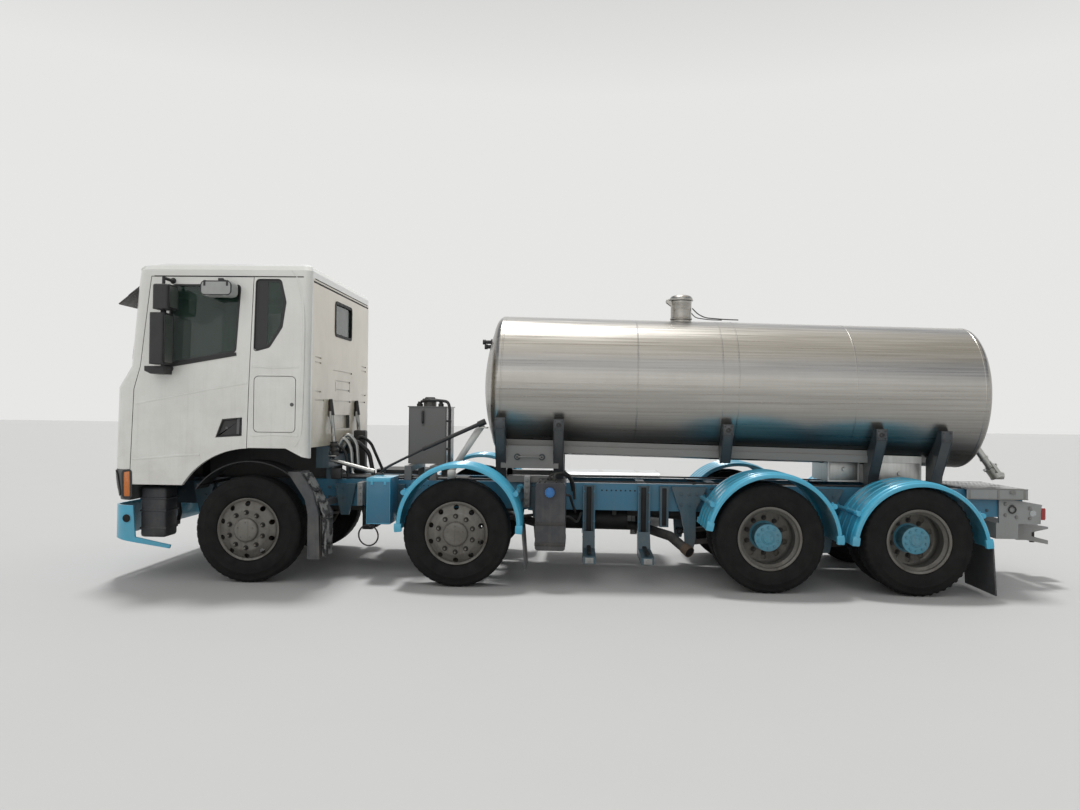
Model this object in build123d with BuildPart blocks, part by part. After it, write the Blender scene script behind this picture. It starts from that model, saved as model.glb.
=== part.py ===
from build123d import *
from math import cos, radians, sin
import os

os.makedirs("parts", exist_ok=True)

# Eight wheel tanker truck. +X points forward, +Y to the truck's left, +Z up, millimetres.
# The origin is on the ground, midway along the overall length. Distances marked
# "from axle 1" are measured forward from the first axle and shifted by AXLE_1.

# Driving dimensions
AXLE_1 = 3305
AXLE_2 = AXLE_1 - 1990
AXLE_3 = AXLE_1 - 4920
AXLE_4 = AXLE_1 - 6285
HUB_Z = 508
TYRE_RADIUS = 508
WHEEL_Y = 1085
TWIN_SPACING = 345
KINGPIN_Y = 960

RAIL_OUTER_Y = 430
RAIL_FLANGE = 85
RAIL_WEB = 9
RAIL_BOTTOM = 665
RAIL_TOP = 940
RAIL_FRONT = AXLE_1 + 1150
RAIL_REAR = AXLE_1 - 7600

TANK_RADIUS = 735
TANK_TILT = 1.0
TANK_FRONT = AXLE_1 - 2330
TANK_FRONT_Z = 1952
TANK_LENGTH = 4780
HEAD_DEPTH = 200

CAB_BACK = AXLE_1 - 565
CAB_WALL = 50
CAB_FLOOR_Z = 1290
ROOF_SEAM_Z = 2921
DOOR_GAP = 6
TILT_X = AXLE_1 + 1280
TILT_Z = 800

SIDES = (1, -1)


def block(x, y, z, mode=Mode.ADD):
    with Locations(((x[0] + x[1]) / 2, (y[0] + y[1]) / 2, (z[0] + z[1]) / 2)):
        Box(x[1] - x[0], abs(y[1] - y[0]), z[1] - z[0], mode=mode)


def side_plate(points, y, mode=Mode.ADD):
    low, high = sorted(y)
    with BuildSketch(Plane.XZ.offset(-high)) as outline:
        Polygon(*points, align=None)
    extrude(outline.sketch, amount=high - low, mode=mode)


def front_plate(points, x, mode=Mode.ADD):
    with BuildSketch(Plane.YZ.offset(x[0])) as outline:
        Polygon(*points, align=None)
    extrude(outline.sketch, amount=x[1] - x[0], mode=mode)


def cross_cylinder(x, z, radius, y, mode=Mode.ADD):
    low, high = sorted(y)
    with BuildSketch(Plane.XZ.offset(-high)) as outline:
        with Locations((x, z)):
            Circle(radius)
    extrude(outline.sketch, amount=high - low, mode=mode)


def upright_cylinder(x, y, radius, z, mode=Mode.ADD):
    with BuildSketch(Plane.XY.offset(z[0])) as outline:
        with Locations((x, y)):
            Circle(radius)
    extrude(outline.sketch, amount=z[1] - z[0], mode=mode)


def turned(points, x, y, side, mode=Mode.ADD):
    # A revolved piece on a wheel's axis. points are (outward distance, radius) from y.
    with BuildSketch(Plane.YZ.offset(x)) as outline:
        Polygon(*[(side * (y + along), HUB_Z + radius) for along, radius in points], align=None)
    revolve(outline.sketch, axis=Axis((x, 0, HUB_Z), (0, 1, 0)), mode=mode)


def write(part, label):
    part.label = label
    export_step(part, "parts/" + label + ".step")


# Frame rails, two pressed channels with their flanges inward
with BuildPart() as frame_rails:
    with BuildSketch(Plane.YZ.offset(RAIL_REAR)):
        for side in SIDES:
            with Locations((side * (RAIL_OUTER_Y - RAIL_FLANGE / 2), (RAIL_TOP + RAIL_BOTTOM) / 2)):
                Rectangle(RAIL_FLANGE, RAIL_TOP - RAIL_BOTTOM)
            inner_y = side * (RAIL_OUTER_Y - RAIL_WEB - RAIL_FLANGE / 2)
            with Locations((inner_y, (RAIL_TOP + RAIL_BOTTOM) / 2)):
                Rectangle(RAIL_FLANGE, RAIL_TOP - RAIL_BOTTOM - 2 * RAIL_WEB, mode=Mode.SUBTRACT)
    extrude(amount=RAIL_FRONT - RAIL_REAR)
write(frame_rails.part, "frame_rails")

# Crossmembers, open channels between the rail webs
CROSSMEMBER_X = (1050, -2350, -3050, -3850, -4600, -5600, -6650, -7450)
CROSSMEMBER_DEPTH = 110
CROSSMEMBER_WIDTH = 90
CROSSMEMBER_PLATE = 9
with BuildPart() as crossmembers:
    for distance in CROSSMEMBER_X:
        x = AXLE_1 + distance
        top = RAIL_TOP - RAIL_WEB
        reach = (-(RAIL_OUTER_Y - RAIL_WEB), RAIL_OUTER_Y - RAIL_WEB)
        block((x, x + CROSSMEMBER_WIDTH), reach, (top - CROSSMEMBER_DEPTH, top))
        hollow_x = (x + CROSSMEMBER_PLATE, x + CROSSMEMBER_WIDTH)
        hollow_z = (top - CROSSMEMBER_DEPTH + CROSSMEMBER_PLATE, top - CROSSMEMBER_PLATE)
        block(hollow_x, reach, hollow_z, Mode.SUBTRACT)
write(crossmembers.part, "crossmembers")

# Front axle beams, dropped in the middle, with a kingpin eye at each end
BEAM_HALF = 45
EYE_RADIUS = 45
EYE_HALF = 70
PIN_RADIUS = 25
PIN_CLEARANCE = 0.05
SPRING_Y = 430
SPRING_SEAT_Z = 520
BEAM_OUTLINE = ((0, 380), (380, 380), (520, 430), (880, 450), (960, 450), (960, 560), (880, 560))
BEAM_TOP = ((520, 520), (330, 520), (250, 470), (0, 470))
DRIVE_TUBE = 75
DRIVE_SPINDLE = 60
SPINDLE_END = 1045
PINION_Z = 560
SHAFT_RADIUS = 50
NOSE_LENGTH = 330
TAIL_LENGTH = 240
GEARBOX_END = AXLE_1 - 1950
GEARBOX_SHAFT_Z = 720
with BuildPart() as axles:
    for x in (AXLE_1, AXLE_2):
        half = BEAM_OUTLINE + BEAM_TOP
        whole = [(y, z) for y, z in half] + [(-y, z) for y, z in reversed(half[1:-1])]
        front_plate(whole, (x - BEAM_HALF, x + BEAM_HALF))
        for side in SIDES:
            eye_z = (HUB_Z - EYE_HALF, HUB_Z + EYE_HALF)
            upright_cylinder(x, side * KINGPIN_Y, EYE_RADIUS, eye_z)
            upright_cylinder(x, side * KINGPIN_Y, PIN_RADIUS + PIN_CLEARANCE, eye_z, Mode.SUBTRACT)
    for x in (AXLE_3, AXLE_4):
        cross_cylinder(x, HUB_Z, DRIVE_TUBE, (-600, 600))
        cross_cylinder(x, HUB_Z, DRIVE_SPINDLE, (-SPINDLE_END, SPINDLE_END))
        with Locations((x, 0, HUB_Z)):
            Sphere(210)
        block((x + 150, x + NOSE_LENGTH), (-70, 70), (HUB_Z - 40, HUB_Z + 110))
    block((AXLE_3 - TAIL_LENGTH, AXLE_3 - 150), (-60, 60), (HUB_Z - 50, HUB_Z + 90))
write(axles.part, "axles")

# Leaf springs of both steered axles and the trailing arms of both driven axles
LEAF_HALF = 740
LEAF_RISE = 85
LEAF_THICK = 48
LEAF_WIDTH = 80
SPRING_EYE = 34
SPRING_PIN = 15
ARM_FRONT = 650
ARM_REAR = 560
ARM_TOP = 432
ARM_THICK = 46
ARM_PIN_Z = 353
with BuildPart() as springs:
    for x in (AXLE_1, AXLE_2):
        for side in SIDES:
            low = SPRING_SEAT_Z
            ends = low + LEAF_RISE
            y = side * SPRING_Y
            with BuildSketch(Plane.XZ.offset(-y - LEAF_WIDTH / 2)):
                with BuildLine():
                    ThreePointArc((x - LEAF_HALF, ends), (x, low), (x + LEAF_HALF, ends))
                    Line((x + LEAF_HALF, ends), (x + LEAF_HALF, ends + LEAF_THICK / 3))
                    ThreePointArc(
                        (x + LEAF_HALF, ends + LEAF_THICK / 3),
                        (x, low + LEAF_THICK),
                        (x - LEAF_HALF, ends + LEAF_THICK / 3),
                    )
                    Line((x - LEAF_HALF, ends + LEAF_THICK / 3), (x - LEAF_HALF, ends))
                make_face()
                with Locations((x - LEAF_HALF, ends + 8), (x + LEAF_HALF, ends + 8)):
                    Circle(SPRING_EYE)
                    Circle(SPRING_PIN, mode=Mode.SUBTRACT)
            extrude(amount=LEAF_WIDTH)
            block((x - 60, x + 60), (y - 50, y + 50), (SPRING_SEAT_Z, SPRING_SEAT_Z + 30))
    for x in (AXLE_3, AXLE_4):
        for side in SIDES:
            y = side * SPRING_Y
            span = (y - LEAF_WIDTH / 2, y + LEAF_WIDTH / 2)
            arm = (
                (x + ARM_FRONT, ARM_PIN_Z - ARM_THICK / 2),
                (x + ARM_FRONT, ARM_PIN_Z + ARM_THICK / 2),
                (x + 140, ARM_TOP),
                (x - ARM_REAR, ARM_TOP),
                (x - ARM_REAR, ARM_TOP - ARM_THICK),
                (x + 140, ARM_TOP - ARM_THICK),
            )
            side_plate(arm, span)
            cross_cylinder(x + ARM_FRONT, ARM_PIN_Z, SPRING_EYE, span)
            cross_cylinder(x + ARM_FRONT, ARM_PIN_Z, SPRING_PIN, span, Mode.SUBTRACT)
            block((x - 110, x + 110), (y - 50, y + 50), (ARM_TOP, HUB_Z + 90))
            cross_cylinder(x, HUB_Z, DRIVE_TUBE, (y - 50, y + 50), Mode.SUBTRACT)
write(springs.part, "springs")

# Rubber air bellows on the trailing arms, and the air tank hung from a rail
AIR_TANK_RADIUS = 100
AIR_TANK_X = (-3650, -2860)
AIR_TANK_Y = 240
AIR_TANK_Z = 555
BELLOWS_RADIUS = 120
BELLOWS_X = 430
with BuildPart() as air_bellows:
    for x in (AXLE_3, AXLE_4):
        for side in SIDES:
            centre = x - BELLOWS_X
            with BuildSketch(Plane.XZ.offset(-side * SPRING_Y)):
                with BuildLine():
                    Line((centre, ARM_TOP), (centre + 90, ARM_TOP))
                    Line((centre + 90, ARM_TOP), (centre + 90, 470))
                    ThreePointArc((centre + 90, 470), (centre + BELLOWS_RADIUS, 540), (centre + 90, 615))
                    Line((centre + 90, 615), (centre + 90, RAIL_BOTTOM))
                    Line((centre + 90, RAIL_BOTTOM), (centre, RAIL_BOTTOM))
                    Line((centre, RAIL_BOTTOM), (centre, ARM_TOP))
                make_face()
            revolve(axis=Axis((centre, side * SPRING_Y, 0), (0, 0, 1)))
    low_x, high_x = (AXLE_1 + distance for distance in AIR_TANK_X)
    with BuildSketch(Plane.YZ.offset(low_x)) as drum:
        with Locations((AIR_TANK_Y, AIR_TANK_Z)):
            Circle(AIR_TANK_RADIUS)
    extrude(drum.sketch, amount=high_x - low_x)
    for strap_x in (low_x + 120, high_x - 160):
        block((strap_x, strap_x + 40), (AIR_TANK_Y, RAIL_OUTER_Y - 20), (AIR_TANK_Z + 60, RAIL_BOTTOM))
write(air_bellows.part, "air_bellows")

# Engine, gearbox and radiator as plain blocks with their feet, and the two propeller shafts.
# Columns of the feet: low x and high x from axle 1, inner y
FEET = ((870, 920, 330), (400, 500, 320), (-1000, -900, 250))
with BuildPart() as powertrain:
    block((AXLE_1 - 490, AXLE_1 + 750), (-320, 320), (700, 1400))
    block((AXLE_1 - 450, AXLE_1 + 550), (-190, 190), (560, 700))
    block((GEARBOX_END, AXLE_1 - 490), (-250, 250), (600, 950))
    block((AXLE_1 + 830, AXLE_1 + 960), (-330, 330), (720, 1480))
    for side in SIDES:
        for low_x, high_x, inner in FEET:
            foot_y = (side * inner, side * (RAIL_OUTER_Y - RAIL_WEB))
            block((AXLE_1 + low_x, AXLE_1 + high_x), foot_y, (720, 800))
    for start, end in (
        ((GEARBOX_END, GEARBOX_SHAFT_Z), (AXLE_3 + NOSE_LENGTH, PINION_Z)),
        ((AXLE_3 - TAIL_LENGTH, PINION_Z - 20), (AXLE_4 + NOSE_LENGTH, PINION_Z)),
    ):
        run = Vector(end[0] - start[0], 0, end[1] - start[1])
        with BuildSketch(Plane.YZ.offset(start[0])) as shaft:
            with Locations((0, start[1])):
                Circle(SHAFT_RADIUS)
        extrude(shaft.sketch, amount=run.length, dir=run)
write(powertrain.part, "powertrain")

# Cab form. Each section is a rounded rectangle seen from above.
# Columns: height, front distance from axle 1, back distance, half width, front corner radius
CAB_SECTIONS = (
    (765, 1340, -565, 1200, 230),
    (1060, 1378, -565, 1216, 240),
    (1851, 1364, -565, 1220, 240),
    (2056, 1236, -565, 1218, 220),
    (2850, 1180, -565, 1192, 200),
    (2985, 1165, -565, 1180, 190),
    (3030, 1120, -545, 1150, 170),
    (3055, 1040, -500, 1090, 150),
)
CAB_REAR_CORNER = 70
ROOF_START_Z = 2900


def cab_form(inset):
    with BuildPart() as form:
        for z, front, back, half, corner in CAB_SECTIONS:
            level = z - inset if z > ROOF_START_Z else z
            level = z - 10 if z == CAB_SECTIONS[0][0] and inset > 0 else level
            with BuildSketch(Plane.XY.offset(level)) as section:
                with Locations((AXLE_1 + (front + back) / 2, 0)):
                    Rectangle(front - back - 2 * inset, 2 * (half - inset))
                fillet(section.vertices().group_by(Axis.X)[-1], corner - inset)
                fillet(section.vertices().group_by(Axis.X)[0], CAB_REAR_CORNER - inset)
        loft(ruled=True)
    return form.part


cab_outer = cab_form(0)
cab_inner = cab_form(CAB_WALL)
GLASS_OUT = 12
GLASS_IN = 18
glass_outer = cab_form(GLASS_OUT)
glass_inner = cab_form(GLASS_IN)

# Door outline, seen from the side, with the wheel arch as an arc about the first axle
ARCH_RADIUS = 770
DOOR_BOTTOM = 918
DOOR_FRONT_X = 1151
DOOR_TOP_Z = 2915


def arch_z(distance):
    return HUB_Z + (ARCH_RADIUS**2 - distance**2) ** 0.5


DOOR_REAR_LOW = 30
ARCH_FRONT = (ARCH_RADIUS**2 - (DOOR_BOTTOM - HUB_Z) ** 2) ** 0.5
with BuildSketch() as door_outline:
    with BuildLine():
        start = (AXLE_1 + DOOR_REAR_LOW, arch_z(DOOR_REAR_LOW))
        corner = (AXLE_1 + ARCH_FRONT, DOOR_BOTTOM)
        ThreePointArc(start, (AXLE_1 + 400, arch_z(400)), corner)
        Polyline(
            corner,
            (AXLE_1 + DOOR_FRONT_X, DOOR_BOTTOM),
            (AXLE_1 + DOOR_FRONT_X, 1083),
            (AXLE_1 + 1124, 1830),
            (AXLE_1 + 1071, 2038),
            (AXLE_1 + 985, DOOR_TOP_Z),
            (AXLE_1 - 8, DOOR_TOP_Z),
            (AXLE_1 + 8, 2186),
            start,
        )
    make_face()

# Window outlines from the side
DOOR_WINDOW = ((832, 2066), (786, 2843), (109, 2843), (143, 2190))
QUARTER_WINDOW = ((-30, 2900), (-278, 2900), (-332, 2676), (-300, 2435), (-180, 2240), (-24, 2196))
# Windscreen and back window outlines from the front
WINDSCREEN = ((-1085, 2090), (1085, 2090), (1020, 2845), (-1020, 2845))
BACK_WINDOW = ((-330, 2440), (330, 2440), (330, 2790), (-330, 2790))
WINDOW_CORNER = 45


def shifted(points):
    return [(AXLE_1 + x, z) for x, z in points]


def side_opening(points, corner):
    with BuildSketch(Plane.XZ.offset(-1400)) as outline:
        Polygon(*shifted(points), align=None)
        fillet(outline.vertices(), corner)
    with BuildPart() as prism:
        extrude(outline.sketch, amount=2800)
    return prism.part


def front_opening(points, corner, x):
    with BuildSketch(Plane.YZ.offset(AXLE_1 + x[0])) as outline:
        Polygon(*points, align=None)
        fillet(outline.vertices(), corner)
    with BuildPart() as prism:
        extrude(outline.sketch, amount=x[1] - x[0])
    return prism.part


door_window = side_opening(DOOR_WINDOW, WINDOW_CORNER)
quarter_window = side_opening(QUARTER_WINDOW, WINDOW_CORNER)
windscreen_opening = front_opening(WINDSCREEN, 2 * WINDOW_CORNER, (900, 1450))
back_opening = front_opening(BACK_WINDOW, WINDOW_CORNER, (-650, -450))

with BuildPart() as door_prism:
    with BuildSketch(Plane.XZ.offset(-1400)):
        add(door_outline.sketch)
    extrude(amount=2800)
with BuildPart() as door_opening:
    with BuildSketch(Plane.XZ.offset(-1400)):
        add(door_outline.sketch)
        offset(amount=DOOR_GAP, kind=Kind.INTERSECTION)
    extrude(amount=2800)

with BuildPart() as cab_shell:
    add(cab_outer)
    add(cab_inner, mode=Mode.SUBTRACT)
    add(windscreen_opening, mode=Mode.SUBTRACT)
    add(quarter_window, mode=Mode.SUBTRACT)
    add(back_opening, mode=Mode.SUBTRACT)

with BuildPart() as glass_shell:
    add(glass_outer)
    add(glass_inner, mode=Mode.SUBTRACT)

# Roof panel
with BuildPart() as cab_roof:
    add(cab_shell.part)
    split(bisect_by=Plane.XY.offset(ROOF_SEAM_Z), keep=Keep.TOP)
write(cab_roof.part, "cab_roof")

# Front panel with both windscreen pillars, its hatch opening and the header
FRONT_BOTTOM = 1060
HATCH_HALF = 940
HATCH_BOTTOM = 1110
HATCH_TOP = 1840
FRONT_SPLIT = AXLE_1 + 900
with BuildPart() as cab_front:
    add(cab_shell.part)
    split(bisect_by=Plane.XY.offset(ROOF_SEAM_Z), keep=Keep.BOTTOM)
    split(bisect_by=Plane.XY.offset(FRONT_BOTTOM), keep=Keep.TOP)
    split(bisect_by=Plane.YZ.offset(FRONT_SPLIT), keep=Keep.TOP)
    add(door_opening.part, mode=Mode.SUBTRACT)
    hatch_y = (-HATCH_HALF - DOOR_GAP, HATCH_HALF + DOOR_GAP)
    hatch_z = (HATCH_BOTTOM - DOOR_GAP, HATCH_TOP + DOOR_GAP)
    block((AXLE_1 + 1200, AXLE_1 + 1450), hatch_y, hatch_z, Mode.SUBTRACT)
write(cab_front.part, "cab_front")

# Quarter panels behind the doors, with a shallow locker recess
QUARTER_Y = 1120
LOCKER = ((-40, 1438), (-435, 1438), (-435, 1965), (-40, 1965))
LOCKER_CORNER = 40
LOCKER_DEPTH = 26
LOCKER_THICK = 18
with BuildPart() as locker_prism:
    with BuildSketch(Plane.XZ.offset(-1400)) as locker_outline:
        Polygon(*shifted(LOCKER), align=None)
        fillet(locker_outline.vertices(), LOCKER_CORNER)
    extrude(amount=2800)
with BuildPart() as locker_opening:
    with BuildSketch(Plane.XZ.offset(-1400)):
        add(locker_outline.sketch)
        offset(amount=DOOR_GAP)
    extrude(amount=2800)
locker_inner = cab_form(LOCKER_DEPTH)
flap_inner = cab_form(LOCKER_THICK)
with BuildPart() as locker_skin:
    add(cab_outer)
    add(locker_inner, mode=Mode.SUBTRACT)
ARCH_FLAT_Z = 1283
with BuildPart() as cab_sides:
    add(cab_shell.part)
    split(bisect_by=Plane.XY.offset(ROOF_SEAM_Z), keep=Keep.BOTTOM)
    split(bisect_by=Plane.YZ.offset(AXLE_1 + 500), keep=Keep.BOTTOM)
    add(door_opening.part, mode=Mode.SUBTRACT)
    block((CAB_BACK - 10, AXLE_1 + 510), (-QUARTER_Y, QUARTER_Y), (700, 3100), Mode.SUBTRACT)
    below = ((600, 700), (600, ARCH_FLAT_Z), (-348, ARCH_FLAT_Z), (-504, 1204), (-600, 1180), (-600, 700))
    side_plate(shifted(below), (-1400, 1400), Mode.SUBTRACT)
    add(locker_opening.part.intersect(locker_skin.part), mode=Mode.SUBTRACT)
write(cab_sides.part, "cab_sides")

# Back wall with its window, pressed grooves, the gutter under the roof edge and a deep recess
# over the gearbox. Columns of the grooves: low y, high y, low z, high z
BACK_BOTTOM = CAB_FLOOR_Z
GROOVE_DEPTH = 9
GROOVES = (
    (-380, 380, 2056, 2072),
    (-300, 300, 1952, 1968),
    (-300, -286, 1850, 1952),
    (286, 300, 1850, 1952),
    (-270, 270, 1862, 1876),
    (-330, 330, 1738, 1754),
    (820, 1030, 2160, 2174),
    (820, 1030, 2110, 2124),
    (820, 1030, 1826, 1840),
    (700, 1020, 1742, 1756),
    (700, 714, 1660, 1742),
)
GUTTER = (2882, 2900)
GUTTER_HALF = 1105
RECESS = (1455, 1600)
RECESS_HALF = 305
RECESS_DEPTH = 38
STRUT_SLOT = ((505, 560), (1585, 1755))
with BuildPart() as cab_back:
    add(cab_shell.part)
    split(bisect_by=Plane.XY.offset(ROOF_SEAM_Z), keep=Keep.BOTTOM)
    split(bisect_by=Plane.XY.offset(BACK_BOTTOM), keep=Keep.TOP)
    split(bisect_by=Plane.YZ.offset(CAB_BACK + CAB_WALL), keep=Keep.BOTTOM)
    split(bisect_by=Plane.XZ.offset(QUARTER_Y), keep=Keep.BOTTOM)
    split(bisect_by=Plane.XZ.offset(-QUARTER_Y), keep=Keep.TOP)
    groove_x = (CAB_BACK - 1, CAB_BACK + GROOVE_DEPTH)
    for low_y, high_y, low_z, high_z in GROOVES:
        block(groove_x, (low_y, high_y), (low_z, high_z), Mode.SUBTRACT)
        if low_y > RECESS_HALF:
            block(groove_x, (-high_y, -low_y), (low_z, high_z), Mode.SUBTRACT)
    block(groove_x, (-GUTTER_HALF, GUTTER_HALF), GUTTER, Mode.SUBTRACT)
    recess_x = (CAB_BACK - 1, CAB_BACK + RECESS_DEPTH)
    block(recess_x, (-RECESS_HALF, RECESS_HALF), RECESS, Mode.SUBTRACT)
    for side in SIDES:
        slot_y = (side * STRUT_SLOT[0][0], side * STRUT_SLOT[0][1])
        block(recess_x, slot_y, STRUT_SLOT[1], Mode.SUBTRACT)
write(cab_back.part, "cab_back")

# Floor with the engine tunnel and both step wells
TUNNEL_HALF = 420
TUNNEL_TOP = 1550
SHEET = 20
FLOOR_THICK = 40
STEP_INNER = 860
STEP_OUTER = 1140
WELL_X = (AXLE_1 + 690, AXLE_1 + 1120)
WELL_BOTTOM = 940
TUNNEL_FRONT = AXLE_1 + 1100
# Nothing of the floor lies within the door's inner face, so that the door can swing
DOOR_SWING = ((AXLE_1 + 15, AXLE_1 + 1160), (1200, 1400))
TILT_ARM_Y = (520, 580)
TILT_ARM = ((1150, CAB_FLOOR_Z), (1300, CAB_FLOOR_Z), (1316, 800), (1300, 765), (1262, 765), (1245, 800))
with BuildPart() as cab_floor:
    add(cab_inner)
    split(bisect_by=Plane.XY.offset(CAB_FLOOR_Z + FLOOR_THICK), keep=Keep.BOTTOM)
    split(bisect_by=Plane.XY.offset(CAB_FLOOR_Z), keep=Keep.TOP)
    for side in SIDES:
        swing_y = (side * STEP_OUTER, side * 1250)
        block(DOOR_SWING[0], swing_y, DOOR_SWING[1], Mode.SUBTRACT)
        block(WELL_X, (side * STEP_INNER, side * STEP_OUTER), (WELL_BOTTOM, CAB_FLOOR_Z))
        open_x = (WELL_X[0] + SHEET, WELL_X[1] - SHEET)
        open_y = (side * (STEP_INNER + SHEET), side * (STEP_OUTER + 1))
        block(open_x, open_y, (WELL_BOTTOM + SHEET, CAB_FLOOR_Z + FLOOR_THICK + 1), Mode.SUBTRACT)
    tunnel_x = (CAB_BACK + CAB_WALL, TUNNEL_FRONT)
    block(tunnel_x, (-TUNNEL_HALF, TUNNEL_HALF), (CAB_FLOOR_Z, TUNNEL_TOP))
    under_x = (tunnel_x[0] - 1, tunnel_x[1] - SHEET)
    under_y = (-TUNNEL_HALF + SHEET, TUNNEL_HALF - SHEET)
    block(under_x, under_y, (CAB_FLOOR_Z - 1, TUNNEL_TOP - SHEET), Mode.SUBTRACT)
    # Tilt arms under the floor, down to the pivot behind the bumper
    for side in SIDES:
        y = (side * TILT_ARM_Y[0], side * TILT_ARM_Y[1])
        side_plate(shifted(TILT_ARM), y)
        cross_cylinder(TILT_X, TILT_Z, PIN_RADIUS + PIN_CLEARANCE, y, Mode.SUBTRACT)
write(cab_floor.part, "cab_floor")

# Fixed glass: windscreen, quarter windows and back window
with BuildPart() as cab_glass:
    for opening in (windscreen_opening, quarter_window, back_opening):
        add(glass_shell.part.intersect(opening))
write(cab_glass.part, "cab_glass")

# Sun visor, a sloping blade with its brackets on the roof edge
VISOR = ((1118, 2900), (1400, 2672), (1388, 2662), (1180, 2830))
VISOR_HALF = 1020
with BuildPart() as sun_visor:
    side_plate(shifted(VISOR), (-VISOR_HALF, VISOR_HALF))
    add(cab_outer, mode=Mode.SUBTRACT)
write(sun_visor.part, "sun_visor")

# Headlamp units under the front corners of the cab, joined by the panel under the hatch
LAMP_INNER_Y = 760
LAMP_BACK = AXLE_1 + DOOR_FRONT_X + DOOR_GAP
PANEL_BACK = AXLE_1 + 1325
with BuildPart() as headlamps:
    add(cab_outer)
    split(bisect_by=Plane.XY.offset(FRONT_BOTTOM), keep=Keep.BOTTOM)
    split(bisect_by=Plane.YZ.offset(LAMP_BACK), keep=Keep.TOP)
    block((LAMP_BACK - 1, PANEL_BACK), (-LAMP_INNER_Y, LAMP_INNER_Y), (700, 1100), Mode.SUBTRACT)
write(headlamps.part, "headlamps")

# Bumper shell, with side returns that sweep back into a low lip, and its two brackets
BUMPER_FRONT = 1375
BUMPER_HALF = 1195
BUMPER_CORNER = 230
BUMPER_SHEET = 20
BUMPER_SIDE = (
    (1400, 715),
    (1130, 715),
    (1105, 413),
    (756, 342),
    (768, 309),
    (1333, 395),
    (1400, 400),
)
BUMPER_BRACKET = ((350, 420), (RAIL_BOTTOM, 705))


def bumper_plan(inset):
    with BuildPart() as plan:
        with BuildSketch(Plane.XY.offset(250)) as outline:
            with Locations((AXLE_1 + BUMPER_FRONT / 2, 0)):
                Rectangle(BUMPER_FRONT - 2 * inset, 2 * (BUMPER_HALF - inset))
            fillet(outline.vertices().group_by(Axis.X)[-1], BUMPER_CORNER - inset)
        extrude(amount=600)
    return plan.part


with BuildPart() as bumper:
    side_plate(shifted(BUMPER_SIDE), (-1300, 1300))
    add(bumper_plan(0), mode=Mode.INTERSECT)
    add(bumper_plan(BUMPER_SHEET), mode=Mode.SUBTRACT)
    for side in SIDES:
        bracket_x = (RAIL_FRONT, AXLE_1 + BUMPER_FRONT - BUMPER_SHEET)
        bracket_y = (side * BUMPER_BRACKET[0][0], side * BUMPER_BRACKET[0][1])
        block(bracket_x, bracket_y, BUMPER_BRACKET[1])
write(bumper.part, "bumper")

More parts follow.
